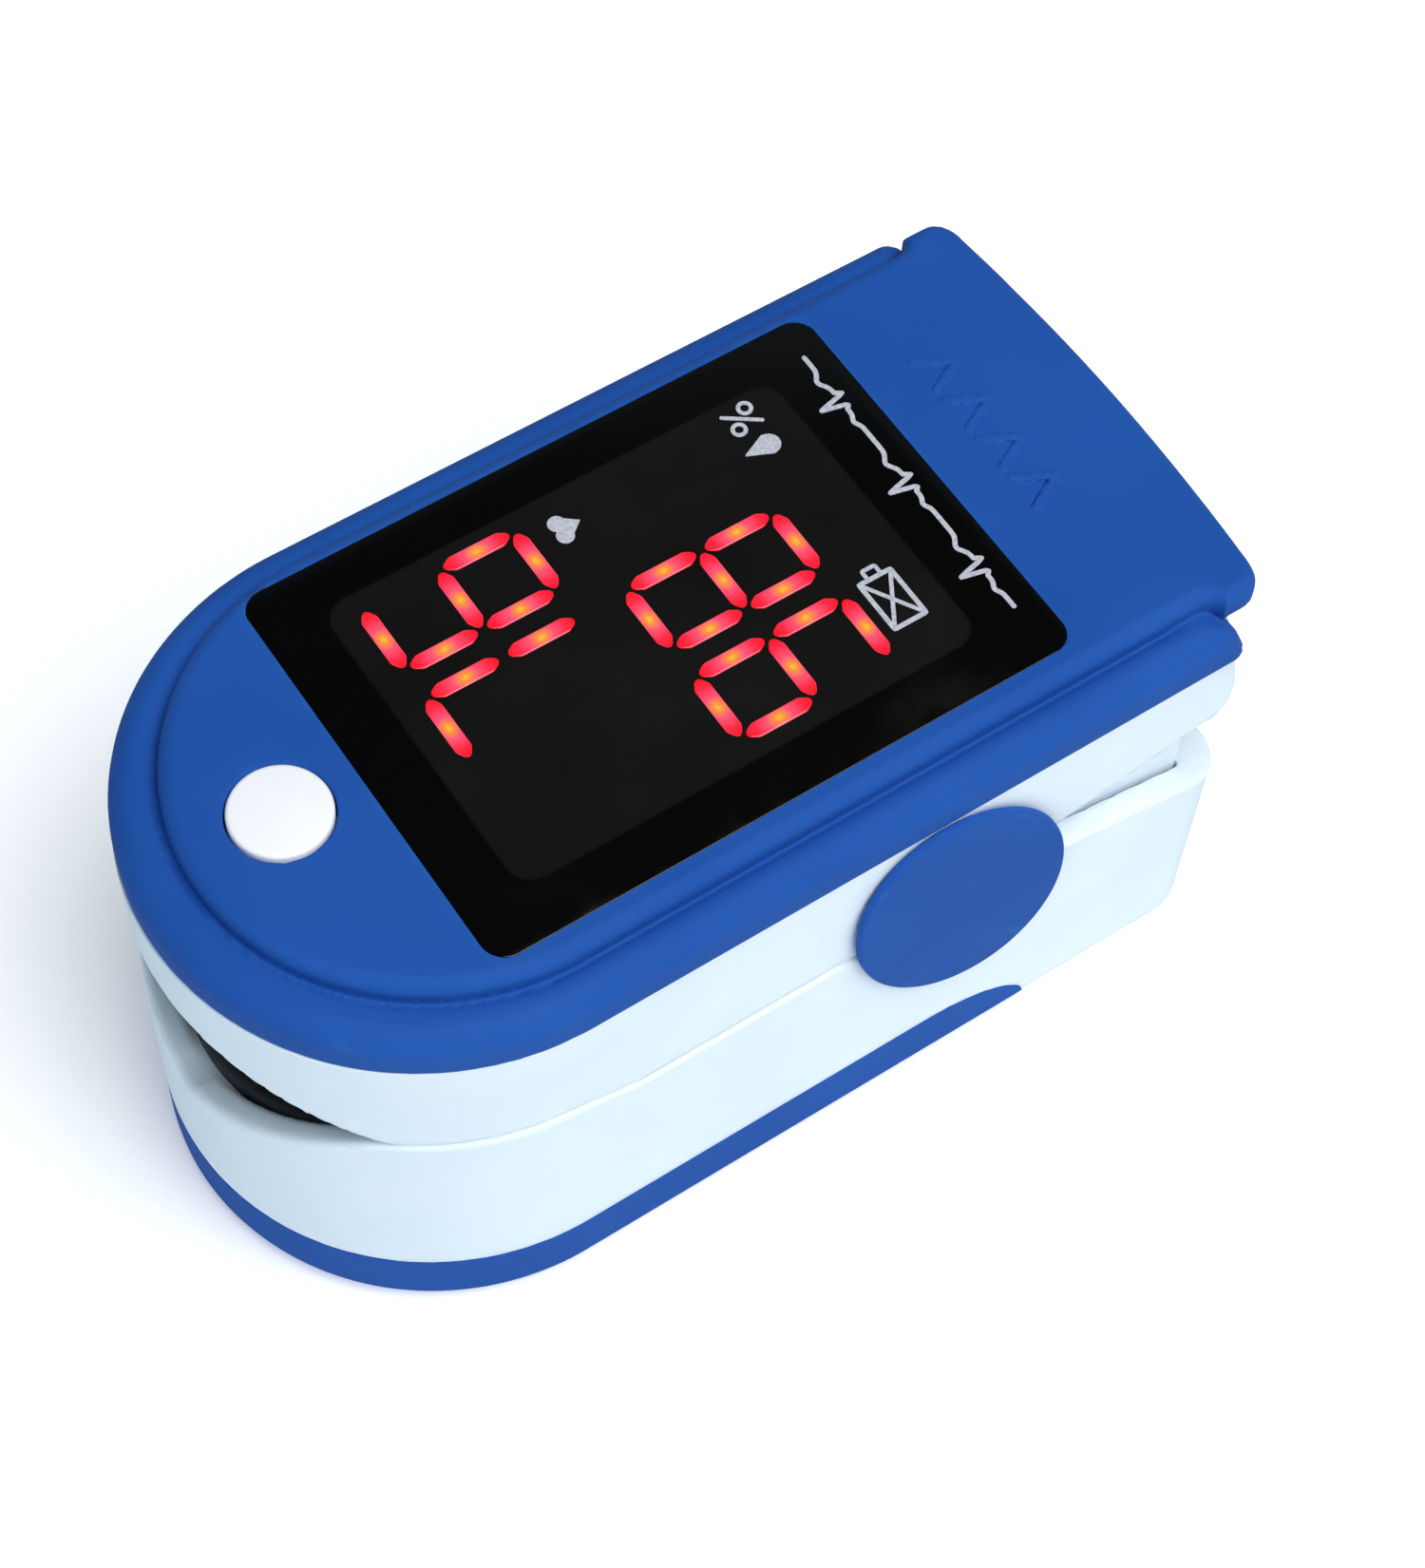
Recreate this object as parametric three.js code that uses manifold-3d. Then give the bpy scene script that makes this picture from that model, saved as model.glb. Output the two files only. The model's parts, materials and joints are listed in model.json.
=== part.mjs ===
// Fingertip pulse oximeter: two sprung jaws that clip on a finger, with a display in the upper jaw and two
// AAA cells in the lower jaw. Millimetres, +Z up. +X runs from the finger mouth to the squeeze end, and the
// origin is the centre of the base.
import * as THREE from 'three';
import * as BufferGeometryUtils from 'three/addons/utils/BufferGeometryUtils.js';
import Module from 'manifold-3d';

const wasm = await Module();
wasm.setup();

// ---- driving dimensions ----
const LENGTH = 57;
const FRONT = -LENGTH / 2;
const REAR = LENGTH / 2;
const SHELL_HALF_WIDTH = 15.1;
const COVER_HALF_WIDTH = 15.3;
const NOSE_LENGTH = 15.4;              // length of the half-ellipse that rounds the finger end
const REAR_RADIUS = 3.5;
const GAP = 0.3;                       // clearance between neighbouring pieces
const WALL = 1.5;
const CURVE_STEPS = 6;                 // straight pieces in each curve of an outline

const DOOR_TOP = 5.1;
const DOOR_END = 16;
const DOOR_WALL = 1.2;
const PARTING = 18.15;                 // plain stretch of the joint line between the jaws
const COVER_BASE = 27.6;
const RIM_TOP = 30.3;
const RIM_END = 25.9;
const DECK = 31.6;

const PIVOT_X = 9.2;
const PIVOT_Z = 18.6;
const PIN_RADIUS = 1.0;
const PIN_HALF_LENGTH = 14.3;
const EAR_RADIUS = 2.8;
const LOWER_EAR = [12.1, 13.3];        // distances of the ear's two faces from the middle plane
const UPPER_EAR = [10.6, 11.8];
const HUB_RADIUS = 2.1;

const CELL_RADIUS = 5.25;
const CELL_LENGTH = 44.5;
const CELL_Y = 5.4;
const CELL_Z = 6.75;
const CELL_FRONT = -20.3;
const BAY_FRONT = -22.5;
const BAY_REAR = 26.4;
const BAY_HALF_WIDTH = 10.95;
const BAY_TOP = 12.2;
const SHELF_TOP = 13.2;                // top of the plate that roofs the battery bay

const TUNNEL_Z = 18.6;
const TUNNEL_HALF_WIDTH = 10.5;
const TUNNEL_HALF_HEIGHT = 3.9;
const TUNNEL_END = 2.6;
const PAD_END = 4;
const LOWER_PAD_BOTTOM = 13.9;
const UPPER_PAD_TOP = 23.7;
const TRAY_BOTTOM = 24;
const TRAY_TOP = 25;
const SENSOR_X = -9;

const WINDOW = { front: -16.4, rear: 17.4, halfWidth: 12.07, radius: 1.3, bottom: 30.4 };
const DISPLAY = { front: -13.4, rear: 13.9, halfWidth: 9.3, bottom: 27.2, top: 30.1 };
const BOARD = { bottom: 25.9, top: 26.9, inset: 2.6, rear: 24 };
const BUTTON_X = -20.8;
const BUTTON_Y = 0.5;                  // the button sits a little to one side of the middle
const BUTTON_RADIUS = 2.62;
const BUTTON_TOP = 32;
const SCREW_PLACES = [[-10, 11.2], [-10, -11.2], [12, 11.2], [12, -11.2]];

// ---- materials ----
const material = (color, roughness, metalness = 0) =>
  new THREE.MeshStandardMaterial({ color, roughness, metalness });
const bluePlastic = material(0x255dac, 0.4);
const whitePlastic = material(0xe4eef7, 0.35);
const blackAcrylic = material(0x050303, 0.08);
const silicone = material(0x17181a, 0.75);
const steel = material(0xb9bcc0, 0.3, 1);
const nickel = material(0xcfcab8, 0.3, 1);
const boardGreen = material(0x14532d, 0.5);
const chipBlack = material(0x1c1c1e, 0.5);
const displayGrey = material(0x2a2a2c, 0.55);
const clearPlastic = material(0xdfe6ea, 0.1);
const cellSkin = material(0x6b7078, 0.35, 0.6);
const ribbonAmber = material(0xb5651d, 0.5);
const housingCream = material(0xe8e0c8, 0.5);

// ---- solids ----
function solid(geometry) {
  const plain = geometry.toNonIndexed ? geometry.clone() : geometry;
  plain.deleteAttribute('normal');
  plain.deleteAttribute('uv');
  const merged = BufferGeometryUtils.mergeVertices(plain, 1e-5);
  return new wasm.Manifold(new wasm.Mesh({
    numProp: 3,
    vertProperties: new Float32Array(merged.attributes.position.array),
    triVerts: new Uint32Array(merged.index.array),
  }));
}

// A shape drawn in X and Y, pulled up from one height to another, with both rims rounded off by bevel.
function slab(shape, low, high, bevel = 0, curveSegments = CURVE_STEPS) {
  const geometry = new THREE.ExtrudeGeometry(shape, {
    depth: high - low - 2 * bevel,
    curveSegments,
    bevelEnabled: bevel > 0,
    bevelThickness: bevel,
    bevelSize: bevel,
    bevelOffset: -bevel,
    bevelSegments: 2,
  });
  geometry.translate(0, 0, low + bevel);
  return solid(geometry);
}

// A shape drawn in X and Z, pulled from one Y to another.
function sideSlab(shape, nearY, farY, curveSegments = CURVE_STEPS) {
  const geometry = new THREE.ExtrudeGeometry(shape, { depth: farY - nearY, curveSegments, bevelEnabled: false });
  geometry.rotateX(Math.PI / 2);
  geometry.translate(0, farY, 0);
  return solid(geometry);
}

// A shape drawn in Y and Z, pulled from one X to another.
function frontSlab(shape, low, high, curveSegments = CURVE_STEPS) {
  const geometry = new THREE.ExtrudeGeometry(shape, { depth: high - low, curveSegments, bevelEnabled: false });
  geometry.applyMatrix4(new THREE.Matrix4().set(0, 0, 1, low, 1, 0, 0, 0, 0, 1, 0, 0, 0, 0, 0, 1));
  return solid(geometry);
}

function box(low, high) {
  const geometry = new THREE.BoxGeometry(high[0] - low[0], high[1] - low[1], high[2] - low[2]);
  geometry.translate((low[0] + high[0]) / 2, (low[1] + high[1]) / 2, (low[2] + high[2]) / 2);
  return solid(geometry);
}

function cylinderZ(x, y, radius, low, high, sides = 20) {
  const geometry = new THREE.CylinderGeometry(radius, radius, high - low, sides);
  geometry.rotateX(Math.PI / 2);
  geometry.translate(x, y, (low + high) / 2);
  return solid(geometry);
}

function cylinderY(x, z, radius, low, high, sides = 20) {
  const geometry = new THREE.CylinderGeometry(radius, radius, high - low, sides);
  geometry.translate(x, (low + high) / 2, z);
  return solid(geometry);
}

function cylinderX(y, z, radius, low, high, sides = 20) {
  const geometry = new THREE.CylinderGeometry(radius, radius, high - low, sides);
  geometry.rotateZ(Math.PI / 2);
  geometry.translate((low + high) / 2, y, z);
  return solid(geometry);
}

const join = (first, ...others) => others.reduce((sum, piece) => sum.add(piece), first);
const cut = (first, ...others) => others.reduce((rest, piece) => rest.subtract(piece), first);

function meshOf(shapeSolid) {
  const mesh = shapeSolid.getMesh();
  const geometry = new THREE.BufferGeometry();
  geometry.setAttribute('position', new THREE.BufferAttribute(mesh.vertProperties, 3));
  geometry.setIndex(new THREE.BufferAttribute(mesh.triVerts, 1));
  geometry.computeVertexNormals();
  return geometry;
}

// ---- outlines ----
// Plan outline of the body: a half-ellipse at the finger end and a square end with rounded corners.
function bodyOutline(inset, halfWidth = SHELL_HALF_WIDTH, rear = REAR - 0.5) {
  const half = halfWidth - inset;
  const end = rear - inset;
  const radius = Math.max(REAR_RADIUS - inset, 0.5);
  const noseCentre = FRONT + NOSE_LENGTH;
  const shape = new THREE.Shape();
  shape.moveTo(noseCentre, -half);
  shape.lineTo(end - radius, -half);
  shape.absarc(end - radius, -half + radius, radius, -Math.PI / 2, 0);
  shape.lineTo(end, half - radius);
  shape.absarc(end - radius, half - radius, radius, 0, Math.PI / 2);
  shape.lineTo(noseCentre, half);
  shape.absellipse(noseCentre, 0, NOSE_LENGTH - inset, half, Math.PI / 2, Math.PI);
  shape.absellipse(noseCentre, 0, NOSE_LENGTH - inset, half, Math.PI, Math.PI * 1.5);
  return shape;
}

function roundedRectangle(left, right, halfHeight, radius) {
  const shape = new THREE.Shape();
  shape.moveTo(left + radius, -halfHeight);
  shape.lineTo(right - radius, -halfHeight);
  shape.absarc(right - radius, -halfHeight + radius, radius, -Math.PI / 2, 0);
  shape.lineTo(right, halfHeight - radius);
  shape.absarc(right - radius, halfHeight - radius, radius, 0, Math.PI / 2);
  shape.lineTo(left + radius, halfHeight);
  shape.absarc(left + radius, halfHeight - radius, radius, Math.PI / 2, Math.PI);
  shape.lineTo(left, -halfHeight + radius);
  shape.absarc(left + radius, -halfHeight + radius, radius, Math.PI, Math.PI * 1.5);
  return shape;
}

function polygon(points) {
  return new THREE.Shape(points.map(([a, b]) => new THREE.Vector2(a, b)));
}

// The mouth seen from the front, in Y and Z: a low arch over a deeper scoop, meeting at the jaw line.
function mouthOutline() {
  const shape = new THREE.Shape();
  shape.moveTo(-11.4, 19.3);
  shape.quadraticCurveTo(-5.5, 15.2, -1.2, 13.55);
  shape.quadraticCurveTo(0, 13.1, 1.2, 13.55);
  shape.quadraticCurveTo(5.5, 15.2, 11.4, 19.3);
  shape.quadraticCurveTo(6.2, 22.9, 0, 22.9);
  shape.quadraticCurveTo(-6.2, 22.9, -11.4, 19.3);
  return shape;
}

function tunnel() {
  const shape = new THREE.Shape();
  shape.absellipse(0, TUNNEL_Z, TUNNEL_HALF_WIDTH, TUNNEL_HALF_HEIGHT, 0, Math.PI * 2);
  return frontSlab(shape, FRONT - 2, TUNNEL_END, 12);
}

// Side view of the space above the lower jaw. It steps up at the finger end, dips round the pivot
// and slopes down to the squeeze end.
const ABOVE_LOWER_JAW = polygon([
  [FRONT - 2, 19.05], [-14.5, 19.05], [-12.3, 18.6], [-9, PARTING - 0.15], [6.6, PARTING - 0.15],
  [PIVOT_X, 16.6], [16, 17.3], [REAR + 2, 14.5], [REAR + 2, 40], [FRONT - 2, 40],
]);

// Side view of the space below the upper jaw.
const BELOW_UPPER_JAW = polygon([
  [FRONT - 2, 19.35], [-14.5, 19.35], [-12.3, 18.9], [-9, PARTING + 0.15], [PIVOT_X, PARTING + 0.15],
  [16.4, 20.1], [REAR + 2, 23], [REAR + 2, -5], [FRONT - 2, -5],
]);

const twoSides = (make) => join(make(1), make(-1));
const spanY = (side, [inner, outer]) => (side > 0 ? [inner, outer] : [-outer, -inner]);

function earPlate(side, faces, foot) {
  const [low, high] = spanY(side, faces);
  const up = foot > PIVOT_Z;
  const strip = up
    ? box([PIVOT_X - EAR_RADIUS, low, PIVOT_Z], [PIVOT_X + EAR_RADIUS, high, foot])
    : box([PIVOT_X - EAR_RADIUS, low, foot], [PIVOT_X + EAR_RADIUS, high, PIVOT_Z]);
  return join(strip, cylinderY(PIVOT_X, PIVOT_Z, EAR_RADIUS, low, high));
}

const pinHole = () => cylinderY(PIVOT_X, PIVOT_Z, PIN_RADIUS + GAP, -20, 20);
const hubHole = () => twoSides((side) => {
  const [low, high] = spanY(side, [13.45, 20]);
  return cylinderY(PIVOT_X, PIVOT_Z, HUB_RADIUS + 0.5, low, high, 28);
});

// ---- lower jaw ----
const RAIL_Z = [3.2, 4.0];

// Side view of the space that the door takes, with its rounded rear top corner.
function doorSpace(grow) {
  const shape = new THREE.Shape();
  const top = DOOR_TOP + grow;
  const end = DOOR_END + grow;
  shape.moveTo(FRONT - 2, -2);
  shape.lineTo(end, -2);
  shape.lineTo(end, 0);
  shape.quadraticCurveTo(end, top, end - 6.5, top);
  shape.lineTo(FRONT - 2, top);
  return sideSlab(shape, -20, 20, 8);
}

function batteryBay() {
  const plan = polygon([
    [BAY_FRONT, -9], [-20.6, -BAY_HALF_WIDTH], [BAY_REAR, -BAY_HALF_WIDTH],
    [BAY_REAR, BAY_HALF_WIDTH], [-20.6, BAY_HALF_WIDTH], [BAY_FRONT, 9],
  ]);
  const hatch = box([BAY_FRONT, -9, -1], [DOOR_END - 1, 9, 2]);
  const wideHatch = box([-20.6, -BAY_HALF_WIDTH, -1], [DOOR_END - 1, BAY_HALF_WIDTH, 2]);
  return join(slab(plan, 1.35, BAY_TOP), hatch, wideHatch);
}

function makeLowerShell() {
  const outer = slab(bodyOutline(0), 0, 24, 1.4);
  const core = slab(bodyOutline(WALL + GAP / 2), 1.5, 24);
  const frontOuter = outer.subtract(doorSpace(0.2));
  const plug = core.intersect(doorSpace(0.4)).subtract(box([DOOR_END - 0.1, -20, -1], [40, 20, 2]));
  const trough = slab(bodyOutline(WALL), SHELF_TOP, 30);
  const rearLedge = box([25.4, -20, SHELF_TOP], [40, 20, 30]);
  const body = cut(
    join(frontOuter, plug),
    trough.subtract(rearLedge),
    sideSlab(ABOVE_LOWER_JAW, -20, 20),
    batteryBay(),
    box([SENSOR_X - 5.3, -3.3, 11], [SENSOR_X + 6.6, 3.3, 14]),
  );
  const ears = twoSides((side) => {
    const [low, high] = spanY(side, [LOWER_EAR[0], 14]);
    const root = box([PIVOT_X - EAR_RADIUS, low, SHELF_TOP - 0.5], [PIVOT_X + EAR_RADIUS, high, 16.2]);
    return join(earPlate(side, LOWER_EAR, SHELF_TOP - 0.5), root);
  });
  const railGrooves = twoSides((side) => {
    const [low, high] = spanY(side, [12.8, 14]);
    return box([FRONT - 2, low, RAIL_Z[0] - GAP], [14.6, high, RAIL_Z[1] + GAP]);
  });
  return cut(join(body, ears), frontSlab(mouthOutline(), FRONT - 2, -25.5), pinHole(), hubHole(), railGrooves);
}

function makeBatteryDoor() {
  const outer = slab(bodyOutline(0), 0, 24, 1.4).intersect(doorSpace(0));
  const inner = slab(bodyOutline(DOOR_WALL), DOOR_WALL, 24);
  const rails = twoSides((side) => {
    const [low, high] = spanY(side, [13.1, 14.2]);
    return box([-9, low, RAIL_Z[0]], [10, high, RAIL_Z[1]]);
  });
  return join(outer.subtract(inner), rails);
}

function makeLowerPad() {
  const block = slab(bodyOutline(WALL + GAP, SHELL_HALF_WIDTH, 200), LOWER_PAD_BOTTOM, 22);
  const scoop = frontSlab(mouthOutline(), FRONT - 2, -26);
  const ramp = sideSlab(polygon([[-30, 14.3], [-20, 14.75], [-20, 17], [-30, 17]]), -4.5, 4.5);
  return cut(
    block,
    box([PAD_END, -20, 0], [300, 20, 40]),
    sideSlab(ABOVE_LOWER_JAW, -20, 20),
    tunnel(),
    scoop,
    ramp,
    cylinderZ(SENSOR_X, 0, 2.6, 10, 20),
  );
}

function makeCell(positiveToRear) {
  const y = positiveToRear ? -CELL_Y : CELL_Y;
  const rim = 0.3;
  const nubLength = 0.9;
  const profile = [
    [0, 0], [CELL_RADIUS - rim, 0], [CELL_RADIUS, rim], [CELL_RADIUS, CELL_LENGTH - nubLength - rim],
    [CELL_RADIUS - rim, CELL_LENGTH - nubLength], [1.9, CELL_LENGTH - nubLength], [1.9, CELL_LENGTH], [0, CELL_LENGTH],
  ].map(([r, h]) => new THREE.Vector2(r, h));
  const geometry = new THREE.LatheGeometry(profile, 20);
  geometry.rotateZ(positiveToRear ? -Math.PI / 2 : Math.PI / 2);
  geometry.translate(positiveToRear ? CELL_FRONT : CELL_FRONT + CELL_LENGTH, y, CELL_Z);
  return solid(geometry);
}

// A round-wire piece along a curve.
function wire(points, radius, steps) {
  const section = new THREE.Shape();
  section.absarc(0, 0, radius, 0, Math.PI * 2);
  const path = new THREE.CatmullRomCurve3(points.map((p) => new THREE.Vector3(...p)));
  const options = { steps, curveSegments: 3, bevelEnabled: false, extrudePath: path };
  return solid(new THREE.ExtrudeGeometry(section, options));
}

// A conical contact spring, from its wide foot at one X to its tip at another.
function makeContactSpring(y, footX, tipX) {
  const turns = 3;
  const count = turns * 8;
  const points = [];
  for (let i = 0; i <= count; i += 1) {
    const t = i / count;
    const angle = t * turns * Math.PI * 2;
    const radius = THREE.MathUtils.lerp(3.4, 1.6, t);
    const x = THREE.MathUtils.lerp(footX, tipX, t);
    points.push([x, y + radius * Math.cos(angle), CELL_Z + radius * Math.sin(angle)]);
  }
  return wire(points, 0.25, 40);
}

function makeTorsionSpring(side) {
  const turns = 3;
  const radius = 1.9;
  const wireRadius = 0.35;
  const innerY = 6.6;
  const outerY = 9.8;
  const rise = Math.PI * 0.14;
  const sweep = turns * Math.PI * 2 + Math.PI - 2 * rise;
  const count = Math.round(sweep / (Math.PI / 4));
  const points = [[20.5, side * innerY, SHELF_TOP + 0.75]];
  points.push([15, side * innerY, SHELF_TOP + 1.6]);
  for (let i = 0; i <= count; i += 1) {
    const t = i / count;
    const angle = -Math.PI / 2 + rise - t * sweep;
    const y = side * THREE.MathUtils.lerp(innerY, outerY, t);
    points.push([PIVOT_X + radius * Math.cos(angle), y, PIVOT_Z + radius * Math.sin(angle)]);
  }
  points.push([15, side * outerY, TRAY_BOTTOM - 1.8]);
  points.push([20.5, side * outerY, TRAY_BOTTOM - 0.75]);
  return wire(points, wireRadius, 84);
}

function makeHingeCap(side) {
  const shape = new THREE.Shape();
  const tilt = THREE.MathUtils.degToRad(113.5);
  shape.absellipse(PIVOT_X, PIVOT_Z + 0.2, 9.1, 6.2, 0, Math.PI * 2, false, tilt);
  const bevel = 0.2;
  const low = SHELL_HALF_WIDTH + 0.2;
  const high = 15.75;
  const geometry = new THREE.ExtrudeGeometry(shape, {
    depth: high - low - 2 * bevel,
    curveSegments: 28,
    bevelThickness: bevel,
    bevelSize: bevel,
    bevelOffset: -bevel,
    bevelSegments: 1,
  });
  geometry.rotateX(Math.PI / 2);
  geometry.translate(0, side > 0 ? high - bevel : -low - bevel, 0);
  const [hubLow, hubHigh] = spanY(side, [13.6, low + bevel]);
  const [holeLow, holeHigh] = spanY(side, [13, 14.7]);
  return cut(
    join(solid(geometry), cylinderY(PIVOT_X, PIVOT_Z, HUB_RADIUS, hubLow, hubHigh)),
    cylinderY(PIVOT_X, PIVOT_Z, PIN_RADIUS + GAP, holeLow, holeHigh),
  );
}

// A flat cable that leaves the sensor board, runs back under the pad and climbs past the hinge pin.
function makeRibbonCable() {
  const halfThickness = 0.12;
  const halfWidth = 2.2;
  const route = new THREE.SplineCurve([
    [-3.6, 12.75], [-3, 13.1], [-2, 13.5], [1, 13.55], [4, 13.6], [5.7, 14.4],
    [6.1, 16], [6.2, 18.6], [6.2, 21], [6.2, 23], [6.2, 25.3],
  ].map(([x, z]) => new THREE.Vector2(x, z)));
  const steps = 30;
  const front = [];
  const back = [];
  for (let i = 0; i <= steps; i += 1) {
    const point = route.getPoint(i / steps);
    const along = route.getTangent(i / steps);
    front.push([point.x - along.y * halfThickness, point.y + along.x * halfThickness]);
    back.unshift([point.x + along.y * halfThickness, point.y - along.x * halfThickness]);
  }
  return sideSlab(polygon([...front, ...back]), -halfWidth, halfWidth);
}

// ---- upper jaw ----
function makeUpperShell() {
  const outer = slab(bodyOutline(0), 10, COVER_BASE - 0.1);
  const below = slab(bodyOutline(WALL), 5, TRAY_BOTTOM);
  const above = slab(bodyOutline(WALL), TRAY_TOP, 40);
  const body = cut(outer, sideSlab(BELOW_UPPER_JAW, -20, 20), below, above);
  const ears = twoSides((side) => earPlate(side, UPPER_EAR, TRAY_BOTTOM + 0.5));
  const posts = SCREW_PLACES.map(([x, y]) => cylinderZ(x, y, 1.7, TRAY_TOP - 0.5, BOARD.bottom - 0.2, 16));
  const pilots = SCREW_PLACES.map(([x, y]) => cylinderZ(x, y, 1.05, 24.25, 27, 12));
  return cut(
    join(body, ears, ...posts),
    frontSlab(mouthOutline(), FRONT - 2, -25.5),
    pinHole(),
    hubHole(),
    cylinderZ(SENSOR_X, 0, 3.4, 23, 26),
    box([5.2, -2.8, 23], [7.2, 2.8, 26]),
    ...pilots,
  );
}

// Plan outline of the raised deck: it follows the rim, then flares out to the corners of the squeeze end.
function deckOutline() {
  const side = 13.2;
  const flare = 14;
  const shape = new THREE.Shape();
  shape.moveTo(-12.5, -side);
  shape.lineTo(23.6, -side);
  shape.quadraticCurveTo(24.8, -side, 25.1, -flare);
  shape.lineTo(26.2, -flare);
  shape.quadraticCurveTo(27.5, -flare, 27.75, -flare + 1.8);
  shape.quadraticCurveTo(REAR + 0.75, 0, 27.75, flare - 1.8);
  shape.quadraticCurveTo(27.5, flare, 26.2, flare);
  shape.lineTo(25.1, flare);
  shape.quadraticCurveTo(24.8, side, 23.6, side);
  shape.lineTo(-12.5, side);
  shape.absellipse(-12.5, 0, 13.4, side, Math.PI / 2, Math.PI);
  shape.absellipse(-12.5, 0, 13.4, side, Math.PI, Math.PI * 1.5);
  return shape;
}

function gripMarks() {
  const bars = [-3.6, 0, 3.6].map((y) => {
    const plan = roundedRectangle(20.4, 23, 0.7, 0.6);
    const bar = slab(plan, DECK - 0.3, DECK + 0.25, 0, 4);
    return bar.translate([0, y, 0]);
  });
  return join(...bars);
}

function makeTopCover() {
  const rim = slab(bodyOutline(0, COVER_HALF_WIDTH, REAR + 10), COVER_BASE - 4, RIM_TOP, 1.1).intersect(
    box([-40, -20, COVER_BASE + 0.1], [RIM_END, 20, 40]));
  const deck = slab(deckOutline(), RIM_TOP - 2.2, DECK, 0.3);
  const tail = slab(bodyOutline(1.2, COVER_HALF_WIDTH, REAR - 0.2), COVER_BASE + 0.1, RIM_TOP - 1);
  const tailOnly = tail.intersect(box([20, -20, 0], [40, 20, 40]));
  const hollow = slab(bodyOutline(WALL + 0.4, SHELL_HALF_WIDTH, 27), COVER_BASE - 5, 29.6);
  const recess = slab(
    roundedRectangle(WINDOW.front - 0.2, WINDOW.rear + 0.2, WINDOW.halfWidth + 0.2, WINDOW.radius),
    WINDOW.bottom - 0.2, 40);
  const opening = slab(
    roundedRectangle(DISPLAY.front - 0.6, DISPLAY.rear + 0.6, DISPLAY.halfWidth + 0.6, 0.8), 20, 40);
  const buttonHole = cylinderZ(BUTTON_X, BUTTON_Y, BUTTON_RADIUS + GAP, 20, 40, 28);
  return cut(join(rim, deck, tailOnly, gripMarks()), hollow, recess, opening, buttonHole);
}

function makeWindow() {
  return slab(roundedRectangle(WINDOW.front, WINDOW.rear, WINDOW.halfWidth, WINDOW.radius), WINDOW.bottom, DECK);
}

function makeMainBoard() {
  const plan = slab(bodyOutline(BOARD.inset, SHELL_HALF_WIDTH, BOARD.rear + BOARD.inset), BOARD.bottom, BOARD.top);
  const holes = SCREW_PLACES.map(([x, y]) => cylinderZ(x, y, 1.05, 20, 30, 12));
  return cut(plan, ...holes);
}

function makeUpperPad() {
  const block = slab(bodyOutline(WALL + GAP, SHELL_HALF_WIDTH, 200), 12, UPPER_PAD_TOP);
  return cut(
    block,
    box([PAD_END, -20, 0], [300, 20, 40]),
    sideSlab(BELOW_UPPER_JAW, -20, 20),
    tunnel(),
    frontSlab(mouthOutline(), FRONT - 2, -26),
    cylinderZ(SENSOR_X, 0, 2.6, 15, 26),
  );
}

function makeBoardScrew([x, y]) {
  const head = BOARD.top + 0.2;
  const profile = [
    [0, 24.5], [0.75, 24.8], [0.75, head], [1.5, head], [1.35, head + 0.55], [0.8, head + 0.75], [0, head + 0.75],
  ].map(([r, z]) => new THREE.Vector2(r, z));
  const geometry = new THREE.LatheGeometry(profile, 14);
  geometry.rotateX(Math.PI / 2);
  const screw = solid(geometry).translate([x, y, 0]);
  const slot = box([x - 0.15, y - 0.8, head + 0.35], [x + 0.15, y + 0.8, head + 2]);
  const crossSlot = box([x - 0.8, y - 0.15, head + 0.35], [x + 0.8, y + 0.15, head + 2]);
  return cut(screw, slot, crossSlot);
}

function makeTactSwitch() {
  const body = box([BUTTON_X - 3, BUTTON_Y - 3, BOARD.top + 0.15], [BUTTON_X + 3, BUTTON_Y + 3, 28.3]);
  return cut(body, cylinderZ(BUTTON_X, BUTTON_Y, 1.85, 27.25, 30, 16));
}

function makeButton() {
  const profile = [
    [0, 28.9], [3.5, 28.9], [3.5, 29.3], [BUTTON_RADIUS, 29.3], [BUTTON_RADIUS, BUTTON_TOP - 0.4],
    [BUTTON_RADIUS - 0.4, BUTTON_TOP - 0.05], [0, BUTTON_TOP],
  ].map(([r, z]) => new THREE.Vector2(r, z));
  const geometry = new THREE.LatheGeometry(profile, 28);
  geometry.rotateX(Math.PI / 2);
  return solid(geometry).translate([BUTTON_X, BUTTON_Y, 0]);
}

// ---- assembly ----
const oximeter = new THREE.Group();
oximeter.name = 'pulse_oximeter';
const lowerJaw = new THREE.Group();
const upperJaw = new THREE.Group();
oximeter.add(lowerJaw, upperJaw);

function add(parent, name, shapeSolid, look) {
  const mesh = new THREE.Mesh(meshOf(shapeSolid), look);
  mesh.name = name;
  parent.add(mesh);
}

const CELL_REAR = CELL_FRONT + CELL_LENGTH;
const plate = (x, y0, y1, thickness) => box([x, y0, 3.2], [x + thickness, y1, 10.4]);

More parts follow.
